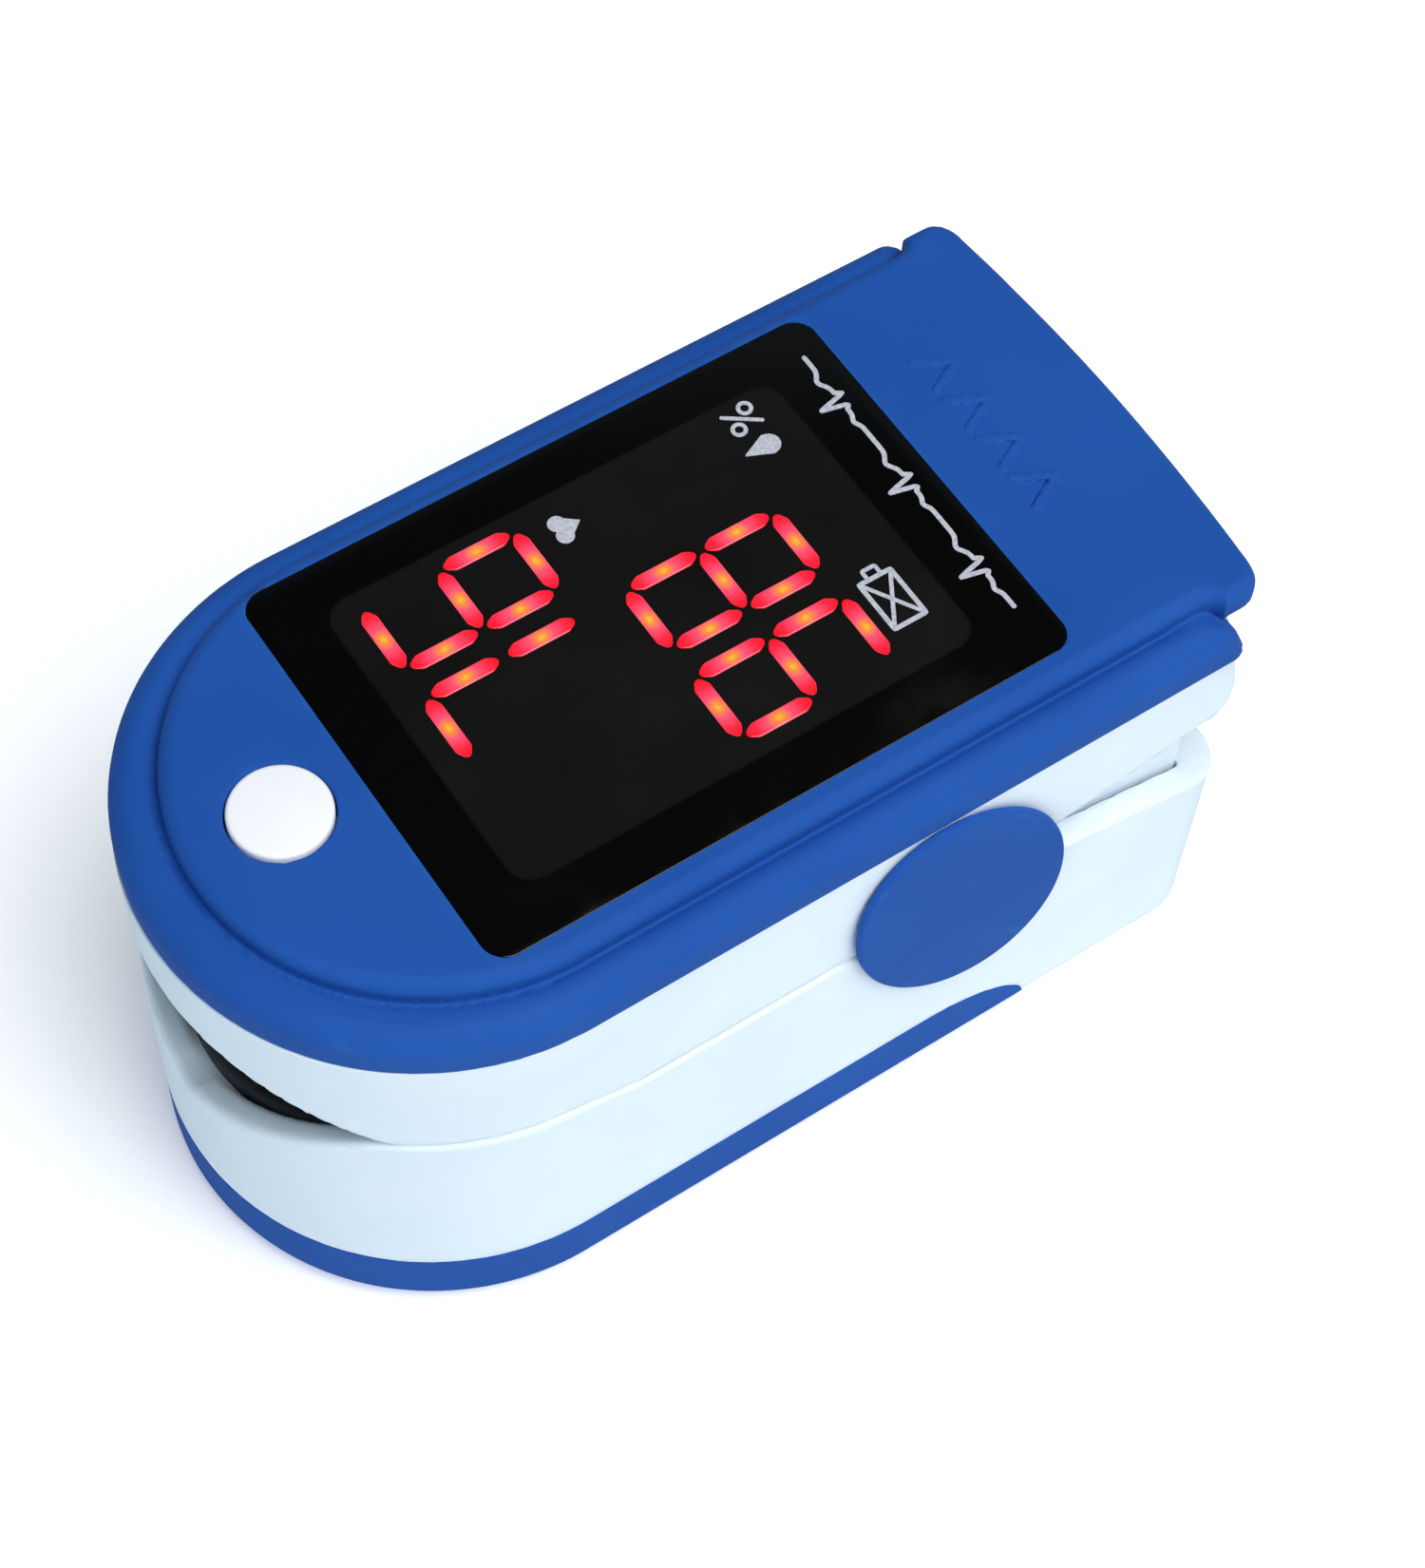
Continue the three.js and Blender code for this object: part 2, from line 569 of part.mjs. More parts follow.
add(lowerJaw, 'lower_shell', makeLowerShell(), whitePlastic);
add(lowerJaw, 'lower_finger_pad', makeLowerPad(), silicone);
add(lowerJaw, 'battery_door', makeBatteryDoor(), bluePlastic);
add(lowerJaw, 'battery_left', makeCell(false), cellSkin);
add(lowerJaw, 'battery_right', makeCell(true), cellSkin);
add(lowerJaw, 'front_contact_plate', plate(-21.1, 1.2, 9, 0.4), nickel);
add(lowerJaw, 'front_spring_plate', plate(-22.2, -8.6, -1.2, 0.4), nickel);
add(lowerJaw, 'front_contact_spring', makeContactSpring(-CELL_Y, -21.4, CELL_FRONT - 0.45), nickel);
add(lowerJaw, 'rear_contact_bridge', plate(25.8, -9.4, 9.4, 0.4), nickel);
add(lowerJaw, 'rear_contact_spring', makeContactSpring(CELL_Y, 25.4, CELL_REAR + 0.45), nickel);
add(lowerJaw, 'sensor_board', box([SENSOR_X - 5, -3, 11.75], [SENSOR_X + 5, 3, 12.35]), boardGreen);
add(lowerJaw, 'photodiode', box([SENSOR_X - 2, -2, 12.55], [SENSOR_X + 2, 2, 13.35]), chipBlack);
add(lowerJaw, 'sensor_window', cylinderZ(SENSOR_X, 0, 2.3, 13.65, 14.75), clearPlastic);
add(lowerJaw, 'hinge_pin', cylinderY(PIVOT_X, PIVOT_Z, PIN_RADIUS, -PIN_HALF_LENGTH, PIN_HALF_LENGTH), steel);
add(lowerJaw, 'hinge_cap_left', makeHingeCap(1), bluePlastic);
add(lowerJaw, 'hinge_cap_right', makeHingeCap(-1), bluePlastic);
add(lowerJaw, 'torsion_spring_left', makeTorsionSpring(1), steel);
add(lowerJaw, 'torsion_spring_right', makeTorsionSpring(-1), steel);
add(lowerJaw, 'hinge_ribbon_cable', makeRibbonCable(), ribbonAmber);

add(upperJaw, 'upper_shell', makeUpperShell(), whitePlastic);
add(upperJaw, 'top_cover', makeTopCover(), bluePlastic);
add(upperJaw, 'display_window', makeWindow(), blackAcrylic);
add(upperJaw, 'upper_finger_pad', makeUpperPad(), silicone);
add(upperJaw, 'main_board', makeMainBoard(), boardGreen);
const displayShape = roundedRectangle(DISPLAY.front, DISPLAY.rear, DISPLAY.halfWidth, 0.5);
add(upperJaw, 'led_display_module', slab(displayShape, DISPLAY.bottom, DISPLAY.top, 0, 4), displayGrey);
add(upperJaw, 'processor_chip', box([15.6, -4, BOARD.top + 0.15], [22.6, 3, 28.1]), chipBlack);
add(upperJaw, 'clock_crystal', box([16, 5, BOARD.top + 0.15], [20, 7.4, 28.4]), steel);
add(upperJaw, 'power_inductor', cylinderZ(18.5, -8, 2.4, BOARD.top + 0.15, 28.9), chipBlack);
add(upperJaw, 'ribbon_connector', box([7.6, -3.4, TRAY_TOP + 0.15], [10, 3.4, BOARD.bottom - 0.1]), housingCream);
add(upperJaw, 'led_emitter', box([SENSOR_X - 2, -2, 23.9], [SENSOR_X + 2, 2, 25.7]), chipBlack);
add(upperJaw, 'emitter_window', cylinderZ(SENSOR_X, 0, 2.3, 22.55, 23.65), clearPlastic);
SCREW_PLACES.forEach((place, i) => add(upperJaw, `board_screw_${i + 1}`, makeBoardScrew(place), steel));
add(upperJaw, 'tact_switch', makeTactSwitch(), chipBlack);
add(upperJaw, 'switch_plunger', cylinderZ(BUTTON_X, BUTTON_Y, 1.5, 27.85, 28.7, 16), housingCream);
add(upperJaw, 'power_button', makeButton(), whitePlastic);

export default oximeter;
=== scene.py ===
"""Fingertip pulse oximeter: the visual model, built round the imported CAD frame.

Shapes are worked out in millimetres and turned into metres when a mesh is made. +X runs from the finger mouth
to the squeeze end, +Z is up, and the oval hinge cap that the camera sees is on the -Y side.
"""
import json
import math

import bpy
import numpy as np
from mathutils import Matrix, Vector


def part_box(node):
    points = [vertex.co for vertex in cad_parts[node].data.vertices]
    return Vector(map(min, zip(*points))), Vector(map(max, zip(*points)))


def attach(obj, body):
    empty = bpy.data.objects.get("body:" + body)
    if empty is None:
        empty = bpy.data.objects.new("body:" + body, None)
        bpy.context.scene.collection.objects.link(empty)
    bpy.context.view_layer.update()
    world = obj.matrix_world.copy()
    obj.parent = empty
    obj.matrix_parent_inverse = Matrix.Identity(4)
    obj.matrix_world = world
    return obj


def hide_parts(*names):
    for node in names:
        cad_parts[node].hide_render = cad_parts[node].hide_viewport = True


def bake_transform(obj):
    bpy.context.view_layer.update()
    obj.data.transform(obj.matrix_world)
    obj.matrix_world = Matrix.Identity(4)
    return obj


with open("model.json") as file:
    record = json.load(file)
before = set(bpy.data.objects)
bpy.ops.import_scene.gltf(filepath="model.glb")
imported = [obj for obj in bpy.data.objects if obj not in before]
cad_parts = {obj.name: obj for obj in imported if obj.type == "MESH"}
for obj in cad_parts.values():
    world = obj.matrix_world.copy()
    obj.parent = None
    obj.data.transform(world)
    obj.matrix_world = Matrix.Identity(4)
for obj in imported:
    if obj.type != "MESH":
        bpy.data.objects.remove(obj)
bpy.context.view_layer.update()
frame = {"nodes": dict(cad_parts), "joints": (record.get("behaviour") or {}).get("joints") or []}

MM = 0.001


def cad(node):
    """Lowest and highest corner of a CAD node, in millimetres."""
    low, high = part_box(node)
    return np.array(low) / MM, np.array(high) / MM


# ---------------- sizes taken from the frame, in mm
SHELL_HIGH = cad("lower_shell")[1]
COVER_LOW, COVER_HIGH = cad("top_cover")
WINDOW_LOW, WINDOW_HIGH = (corner + (0, 0.25, 0) for corner in cad("display_window"))
BUTTON_LOW, BUTTON_HIGH = cad("power_button")
DOOR_HIGH = cad("battery_door")[1]
CELL_LOW, CELL_HIGH = cad("battery_right")
LENS_LOW, LENS_HIGH = cad("sensor_window")
HINGE = next(j for j in frame["joints"] if j["name"] == "jaw_hinge")
PIVOT_X = HINGE["pos_m"][0] / MM
PIVOT_Z = HINGE["pos_m"][2] / MM

FRONT = COVER_LOW[0]
REAR = COVER_HIGH[0]
SHELL_HALF = SHELL_HIGH[1]
COVER_HALF = 15.3
NOSE = 15.4                     # length of the half-ellipse at the finger end
SHELL_REAR = SHELL_HIGH[0]
SHELL_CORNER = 2.8
WALL = 1.4
PARTING = 18.15                 # height of the jaw line beside the pivot
SEAM = 0.07                     # half of the gap along the jaw line
COVER_BASE = COVER_LOW[2] - 0.06
DECK = WINDOW_HIGH[2]
RIM_TOP = 30.35
TRAY_BOTTOM = 24.0
TRAY_TOP = 25.0
SHELF_TOP = 13.2
BAY_TOP = 12.2
DOOR_TOP = DOOR_HIGH[2]
PAD_REAR = cad("lower_finger_pad")[1][0]
BUTTON = (BUTTON_LOW + BUTTON_HIGH)[:2] / 2 + (0.15, 0.2)
BUTTON_RADIUS = 2.62
SENSOR_X = (LENS_LOW[0] + LENS_HIGH[0]) / 2
EAR_RADIUS = 2.8
PIN_HOLE = 1.15
HUB_HOLE = 2.6
HUB_INNER = 13.45               # where the caps' hubs end, from the middle
CELL_Y = 5.4
CELL_Z = (CELL_LOW[2] + CELL_HIGH[2]) / 2


# ---------------- distance fields
def both(a, b, r=0.0):
    """Where two solids overlap, with the edge between them rounded to radius r."""
    if not r:
        return np.maximum(a, b)
    return np.minimum(-r, np.maximum(a, b)) + np.hypot(np.maximum(a + r, 0), np.maximum(b + r, 0))


def either(a, b, r=0.0):
    """Two solids joined, with the corner between them filled to radius r."""
    return -both(-a, -b, r)


def without(a, b, r=0.0):
    """The first solid with the second cut out of it."""
    return both(a, -b, r)


def between(v, low, high):
    return np.abs(v - (low + high) / 2) - (high - low) / 2


def ellipse(x, y, a, b):
    k0 = np.hypot(x / a, y / b)
    k1 = np.hypot(x / a ** 2, y / b ** 2)
    return k0 * (k0 - 1) / np.maximum(k1, 1e-9)


def round_corner(dx, dy, radius):
    """The corner of a rectangle, rounded to a radius. dx and dy run from the centre of the rounding."""
    return np.minimum(np.maximum(dx, dy), 0) + np.hypot(np.maximum(dx, 0), np.maximum(dy, 0)) - radius


def rectangle(x, y, low, high, radius):
    """A rounded rectangle between two corners."""
    dx = np.abs(x - (low[0] + high[0]) / 2) - (high[0] - low[0]) / 2 + radius
    dy = np.abs(y - (low[1] + high[1]) / 2) - (high[1] - low[1]) / 2 + radius
    return round_corner(dx, dy, radius)


def capsule(x, y, start, end, radius):
    """A straight stroke with round ends."""
    along = np.array(end, float) - np.array(start, float)
    t = ((x - start[0]) * along[0] + (y - start[1]) * along[1]) / (along @ along)
    t = np.clip(t, 0, 1)
    return np.hypot(x - start[0] - t * along[0], y - start[1] - t * along[1]) - radius


def curve(*points, steps=12):
    """Points along a quadratic curve that is given by its start, its control point and its end."""
    a, b, c = (np.array(p, float) for p in points)
    t = np.linspace(0, 1, steps + 1)[:, None]
    return (1 - t) ** 2 * a + 2 * t * (1 - t) * b + t * t * c


def outline_distance(x, y, outline):
    """Distance to a closed outline of straight pieces, less than zero inside it."""
    best = np.inf
    inside = False
    for (ax, ay), (bx, by) in zip(outline, np.roll(outline, -1, axis=0)):
        ex, ey = bx - ax, by - ay
        length = ex * ex + ey * ey
        if length < 1e-12:
            continue
        t = np.clip(((x - ax) * ex + (y - ay) * ey) / length, 0, 1)
        best = np.minimum(best, (x - ax - t * ex) ** 2 + (y - ay - t * ey) ** 2)
        crosses = (ay > y) != (by > y)
        with np.errstate(divide="ignore", invalid="ignore"):
            ahead = x < ex * (y - ay) / ey + ax if ey else False
        inside = np.logical_xor(inside, crosses & ahead)
    return np.where(inside, -1.0, 1.0) * np.sqrt(best)


def mirrored(half_outline):
    """A closed outline from its half with y above zero, mirrored in the X axis."""
    half_outline = np.array(half_outline)
    return np.concatenate([half_outline, half_outline[::-1] * (1, -1)])


def body_plan(x, y, half=SHELL_HALF, nose=NOSE, rear=SHELL_REAR, corner=SHELL_CORNER):
    """Plan of the body: a half-ellipse at the finger end, straight sides, and a square end."""
    centre = FRONT + NOSE
    nose_part = ellipse(x - centre, y, nose, half)
    rear_part = round_corner(x - rear + corner, np.abs(y) - half + corner, corner)
    return np.where(x < centre, nose_part, rear_part)


def smooth_step(v, start, end):
    t = np.clip((v - start) / (end - start), 0, 1)
    return t * t * (3 - 2 * t)


def jaw_line(x):
    """Height of the line where the jaws meet, ahead of the hinge. It steps up towards the finger mouth."""
    return PARTING + 1.1 * smooth_step(-x, 9.5, 14.5)


def lower_edge(x):
    """Height of the lower jaw's top edge, with a dip round the pivot and a slope to the squeeze end."""
    behind = np.interp(x, [6.6, PIVOT_X, 16, 30.5], [PARTING, 16.6, 17.3, 14.5])
    return np.where(x < 6.6, jaw_line(x), behind) - SEAM


def upper_edge(x):
    """Height of the upper jaw's bottom edge."""
    behind = np.interp(x, [PIVOT_X, 16.4, 30.5], [PARTING, 20.1, 23.0])
    return np.where(x < PIVOT_X, jaw_line(x), behind) + SEAM


MOUTH = mirrored(np.concatenate([
    curve((13.1, 0), (13.1, 0.6), (13.55, 1.2), steps=4),
    curve((13.55, 1.2), (15.2, 5.5), (19.3, 11.4)),
    curve((19.3, 11.4), (22.9, 6.2), (22.9, 0)),
]))


def mouth(x, y, z):
    """The opening that the finger goes through, at the front of both jaws."""
    return both(outline_distance(z, y, MOUTH), x + 20)


def tunnel(x, y, z):
    """The space for the finger between the two pads."""
    return both(ellipse(y, z - 18.6, 10.5, 3.9), x - 2.6, 1.5)


def from_pin(x, z):
    return np.hypot(x - PIVOT_X, z - PIVOT_Z)


def ear(x, y, z, inner, outer, toward):
    """A hinge ear, round at its free end. It grows from a shell that lies above (1) or below (-1) it."""
    side_view = np.where((z - PIVOT_Z) * toward > 0, np.abs(x - PIVOT_X), from_pin(x, z)) - EAR_RADIUS
    return both(side_view, between(np.abs(y), inner, outer), 0.15)


def with_hinge_holes(solid, x, y, z):
    """Cuts the holes for the pin and for the hubs of the two caps."""
    solid = without(solid, from_pin(x, z) - PIN_HOLE)
    return without(solid, both(from_pin(x, z) - HUB_HOLE, HUB_INNER - np.abs(y)))


def lens_hole(x, y, radius=2.45):
    return np.hypot(x - SENSOR_X, y) - radius


# ---------------- surface of a field
def contour(field, low, high, cell):
    """Dual contouring: a mesh of quads on the zero surface of a distance field, with its edges kept crisp."""
    low = np.array(low, float)
    size = np.ceil((np.array(high, float) - low) / cell).astype(int) + 1
    axes = [low[i] + cell * np.arange(size[i]) for i in range(3)]
    grid = field(axes[0][:, None, None], axes[1][None, :, None], axes[2][None, None, :])
    grid = np.broadcast_to(grid, size)
    inside = grid < 0
    starts, ends, along, rising = [], [], [], []
    for a in range(3):
        front = [slice(None)] * 3
        back = [slice(None)] * 3
        front[a], back[a] = slice(0, -1), slice(1, None)
        found = np.argwhere(inside[tuple(front)] != inside[tuple(back)])
        step = np.eye(3, dtype=int)[a]
        starts.append(found)
        ends.append(found + step)
        along.append(np.full(len(found), a))
        rising.append(inside[tuple(found.T)])
    starts, ends = np.concatenate(starts), np.concatenate(ends)
    along, rising = np.concatenate(along), np.concatenate(rising)
    point, normal = crossings(field, grid, low, cell, starts, ends)
    return cells_to_mesh(point, normal, starts, along, rising, size, low, cell)


def crossings(field, grid, low, cell, starts, ends):
    """Where the surface crosses each grid edge, and its normal there."""
    a, b = low + cell * starts, low + cell * ends
    fa, fb = grid[tuple(starts.T)].astype(float), grid[tuple(ends.T)].astype(float)
    for _ in range(3):
        middle = a + (b - a) * np.clip(fa / (fa - fb), 0.05, 0.95)[:, None]
        value = field(*middle.T)
        same = np.sign(value) == np.sign(fa)
        a[same], fa[same] = middle[same], value[same]
        b[~same], fb[~same] = middle[~same], value[~same]
    point = a + (b - a) * np.clip(fa / (fa - fb), 0, 1)[:, None]
    normal = np.empty_like(point)
    for i in range(3):
        step = np.eye(3)[i] * 0.01
        normal[:, i] = field(*(point + step).T) - field(*(point - step).T)
    normal /= np.maximum(np.linalg.norm(normal, axis=1, keepdims=True), 1e-9)
    return point, normal


def cells_to_mesh(point, normal, starts, along, rising, size, low, cell):
    strides = np.array([size[1] * size[2], size[2], 1])
    corners = []
    for du, dv in ((-1, -1), (0, -1), (0, 0), (-1, 0)):
        offset = np.zeros((len(starts), 3), int)
        offset[np.arange(len(starts)), (along + 1) % 3] = du
        offset[np.arange(len(starts)), (along + 2) % 3] = dv
        corners.append((starts + offset) @ strides)
    corners = np.stack(corners, 1)
    cells, index = np.unique(corners, return_inverse=True)
    index = index.reshape(corners.shape)
    count = len(cells)
    flat = index.ravel()

    def total(values):
        return np.bincount(flat, np.repeat(values, 4), count)

    hits = total(np.ones(len(point)))
    mass = np.stack([total(point[:, i]) for i in range(3)], 1) / hits[:, None]
    offset = (point * normal).sum(1)
    matrix = np.empty((count, 3, 3))
    for i in range(3):
        for j in range(i, 3):
            matrix[:, i, j] = matrix[:, j, i] = total(normal[:, i] * normal[:, j])
    right = np.stack([total(normal[:, i] * offset) for i in range(3)], 1)
    right -= np.einsum("nij,nj->ni", matrix, mass)
    matrix += np.eye(3) * (0.03 * hits)[:, None, None]
    corner = np.stack(np.unravel_index(cells, size), 1)
    base = low + cell * corner
    place = mass + np.linalg.solve(matrix, right[..., None])[..., 0]
    place = np.clip(place, base, base + cell)
    return place, np.where(rising[:, None], index, index[:, ::-1])


def around(count):
    """Evenly spaced angles of a full turn."""
    return np.linspace(0, 2 * math.pi, count + 1)[:-1]


def new_mesh(name, points, faces, sharp=32.0):
    """A Blender object from points in millimetres, smooth except at its sharp edges."""
    mesh = bpy.data.meshes.new(name)
    mesh.from_pydata((np.asarray(points) * MM).tolist(), [], [list(map(int, f)) for f in faces])
    mesh.validate()
    mesh.update()
    mesh.shade_smooth()
    mesh.set_sharp_from_angle(angle=math.radians(sharp))
    obj = bpy.data.objects.new(name, mesh)
    bpy.context.scene.collection.objects.link(obj)
    return obj


def shade_from_field(mesh, field):
    """Corner normals taken from the field just inside each face, so that small roundings shade cleanly."""
    corner_vertex = np.empty(len(mesh.loops), int)
    mesh.loops.foreach_get("vertex_index", corner_vertex)
    place = np.empty(len(mesh.vertices) * 3)
    mesh.vertices.foreach_get("co", place)
    centre, flat = np.empty(len(mesh.polygons) * 3), np.empty(len(mesh.polygons) * 3)
    mesh.polygons.foreach_get("center", centre)
    mesh.polygons.foreach_get("normal", flat)
    sides = np.empty(len(mesh.polygons), int)
    mesh.polygons.foreach_get("loop_total", sides)
    corner = place.reshape(-1, 3)[corner_vertex] / MM
    middle = np.repeat(centre.reshape(-1, 3), sides, axis=0) / MM
    flat = np.repeat(flat.reshape(-1, 3), sides, axis=0)
    sample = corner + 0.3 * (middle - corner)
    normal = np.zeros_like(sample)
    for step in ((1, -1, -1), (-1, -1, 1), (-1, 1, -1), (1, 1, 1)):
        normal += np.array(step) * field(*(sample + np.array(step) * 0.02).T)[:, None]
    normal /= np.maximum(np.linalg.norm(normal, axis=1, keepdims=True), 1e-9)
    astray = (normal * flat).sum(1) < 0.35
    normal[astray] = flat[astray]
    mesh.normals_split_custom_set(normal.tolist())


def field_piece(name, field, low, high, cell):
    obj = new_mesh(name, *contour(field, low, high, cell))
    shade_from_field(obj.data, field)
    return obj


def case_piece(name, field, bottom, top, cell, rear=REAR + 1, half=16.5):
    """A piece of the case, made inside a box that is a little larger than the case."""
    return field_piece(name, field, (FRONT - 1, -half, bottom), (rear, half, top), cell)


def finish_piece(obj, body, look, slot, *nodes):
    """Gives a piece its material and its body, and hides the CAD nodes that it stands for. The slot argument
    is not used.
    """
    obj.data.materials.append(look)
    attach(obj, body)
    if nodes:
        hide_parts(*nodes)


# ---------------- materials
def linear(rgb):
    """Linear colour from 0 to 255 display values."""
    values = [c / 255 for c in rgb]
    return tuple(c / 12.92 if c <= 0.04045 else ((c + 0.055) / 1.055) ** 2.4 for c in values) + (1.0,)


def set_stops(ramp, stops):
    """Fills a colour ramp node, which starts with two stops."""
    elements = ramp.color_ramp.elements
    for i, (position, colour) in enumerate(stops):
        element = elements[i] if i < 2 else elements.new(position)
        element.position = position
        element.color = colour


class Look:
    """A node material with small helpers, so that each recipe below reads as a list of layers."""

    def __init__(self, name, roughness, metallic=0.0, specular=0.5):
        self.material = bpy.data.materials.new(name)
        self.material.use_nodes = True
        self.tree = self.material.node_tree
        self.shader = self.tree.nodes["Principled BSDF"]
        self.shader.inputs["Roughness"].default_value = roughness
        self.shader.inputs["Metallic"].default_value = metallic
        self.shader.inputs["Specular IOR Level"].default_value = specular
        self.place = self.node("TexCoord").outputs["Object"]

    def node(self, kind, **inputs):
        made = self.tree.nodes.new("ShaderNode" + kind)
        for name, value in inputs.items():
            self.feed(made.inputs[name.replace("_", " ")], value)
        return made

    def feed(self, socket, value):
        if isinstance(value, bpy.types.NodeSocket):
            self.tree.links.new(value, socket)
        else:
            socket.default_value = value

    def noise(self, per_mm, detail=3.0, stretch=(1, 1, 1)):
        """Noise with about per_mm features to the millimetre."""
        mapping = self.node("Mapping", Vector=self.place)
        mapping.inputs["Scale"].default_value = stretch
        made = self.node("TexNoise", Scale=per_mm / MM, Detail=detail)
        self.feed(made.inputs["Vector"], mapping.outputs["Vector"])
        return made.outputs["Fac"]

    def ramp(self, value, stops):
        made = self.node("ValToRGB", Fac=value)
        set_stops(made, stops)
        return made.outputs["Color"]

    def tones(self, noise, dark, pale, low=0.3, high=0.7):
        """Two display colours, mixed by noise."""
        return self.ramp(noise, [(low, linear(dark)), (high, linear(pale))])

    def map_range(self, value, low, high, to_low=0.0, to_high=1.0):
        made = self.node("MapRange", Value=value)
        for socket, number in zip(made.inputs[1:5], (low, high, to_low, to_high)):
            socket.default_value = number
        return made.outputs["Result"]

    def mix(self, share, a, b):
        made = self.node("Mix")
        made.data_type = "RGBA"
        self.feed(made.inputs[0], share)
        self.feed(made.inputs[6], a)
        self.feed(made.inputs[7], b)
        return made.outputs[2]

    def math(self, operation, a, b=0.0):
        made = self.node("Math")
        made.operation = operation
        self.feed(made.inputs[0], a)
        self.feed(made.inputs[1], b)
        return made.outputs[0]

    def edges(self):
        """1 on worn convex edges, 0 elsewhere."""
        pointiness = self.node("NewGeometry").outputs["Pointiness"]
        return self.map_range(pointiness, 0.52, 0.6)

    def colour(self, value):
        self.feed(self.shader.inputs["Base Color"], value)

    def roughness(self, noise, low, high, start=0.3):
        """Roughness that drifts between two levels."""
        self.feed(self.shader.inputs["Roughness"], self.map_range(noise, start, 0.7, low, high))

    def bump(self, height, depth_mm):
        made = self.node("Bump", Height=height, Strength=1.0, Distance=depth_mm * MM)
        self.feed(self.shader.inputs["Normal"], made.outputs["Normal"])


def plastic(name, base, deep, worn, roughness, specular=0.3):
    """Moulded plastic: slight clouding, fine mould grain, paler worn edges and faint smudges."""
    look = Look(name, roughness, specular=specular)
    clouds = look.noise(0.09, 2.0)
    body = look.tones(clouds, deep, base, 0.35, 0.65)
    scuffs = look.math("MULTIPLY", look.edges(), look.map_range(look.noise(0.8), 0.4, 0.7, 0.2, 1.0))
    look.colour(look.mix(look.math("MULTIPLY", scuffs, 0.35), body, linear(worn)))
    look.roughness(look.noise(0.35, 4.0), roughness - 0.05, roughness + 0.08)
    look.bump(look.noise(6.0, 2.0), 0.01)
    return look.material


BLUE = plastic("blue_plastic", (35, 85, 166), (32, 80, 160), (58, 110, 188), 0.52, specular=0.04)
WHITE = plastic("white_plastic", (227, 239, 248), (222, 235, 245), (248, 251, 255), 0.42)
BUTTON_WHITE = plastic("button_white", (250, 250, 252), (242, 243, 247), (255, 255, 255), 0.34)


def silicone():
    look = Look("black_silicone", 0.62, specular=0.4)
    clouds = look.tones(look.noise(0.3), (22, 22, 24), (34, 34, 37))
    dust = look.map_range(look.noise(3.0, 5.0), 0.62, 0.75, 0.0, 0.12)
    look.colour(look.mix(dust, clouds, linear((120, 120, 125))))
    look.roughness(look.noise(1.2), 0.52, 0.72)
    look.bump(look.noise(4.0, 3.0), 0.015)
    return look.material


def window_glass():
    """Polished smoked acrylic with a slightly paler viewing area inside a printed black border."""
    look = Look("black_window", 0.06, specular=0.5)
    x, y, _ = look.node("SeparateXYZ", Vector=look.place).outputs
    low = Vector((-13.2, -9.0)) * MM
    high = Vector((13.6, 9.7)) * MM
    radius = 1.4 * MM
    squares = []
    for place, start, end in zip((x, y), low, high):
        from_middle = look.math("ABSOLUTE", look.math("SUBTRACT", place, (start + end) / 2))
        beyond = look.math("MAXIMUM", look.math("SUBTRACT", from_middle, (end - start) / 2 - radius), 0.0)
        squares.append(look.math("MULTIPLY", beyond, beyond))
    away = look.math("SQRT", look.math("ADD", *squares))
    area = look.map_range(away, radius - 0.1 * MM, radius + 0.1 * MM, 1.0, 0.0)
    cloud = look.tones(look.noise(0.15), (18, 17, 16), (23, 22, 21))
    look.colour(look.mix(area, linear((5, 4, 4)), cloud))
    look.roughness(look.noise(0.25, 5.0), 0.05, 0.16, start=0.35)
    return look.material


def lit_segment():
    """A glowing LED bar: orange in the middle, pink-red along it and pure red at its ends."""
    look = Look("lit_segment", 0.25)
    glow = look.node("Attribute")
    glow.attribute_name = "glow"
    stops = ((0.0, (255, 176, 52)), (0.16, (252, 126, 56)), (0.36, (240, 74, 104)),
             (0.7, (246, 36, 60)), (1.0, (222, 18, 34)))
    wobble = look.math("ADD", glow.outputs["Fac"], look.map_range(look.noise(2.0), 0.0, 1.0, -0.04, 0.04))
    colour = look.ramp(wobble, [(position, linear(rgb)) for position, rgb in stops])
    look.colour(look.mix(0.6, colour, linear((30, 0, 0))))
    look.feed(look.shader.inputs["Emission Color"], colour)
    look.shader.inputs["Emission Strength"].default_value = 0.95
    return look.material


def printed_ink():
    look = Look("printed_ink", 0.45)
    look.colour(look.tones(look.noise(5.0), (176, 176, 186), (205, 205, 214), 0.35, 0.65))
    look.bump(look.noise(20.0), 0.004)
    return look.material


def metal(name, base, deep, roughness):
    """Plated or drawn metal with a faint grain along it and worn, brighter edges."""
    look = Look(name, roughness, metallic=1.0)
    grain = look.noise(2.5, 4.0, stretch=(0.15, 1, 1))
    body = look.tones(grain, deep, base, 0.35, 0.65)
    look.colour(look.mix(look.math("MULTIPLY", look.edges(), 0.5), body, linear((240, 240, 240))))
    look.roughness(look.noise(0.8), roughness - 0.06, roughness + 0.1)
    look.bump(grain, 0.006)
    return look.material


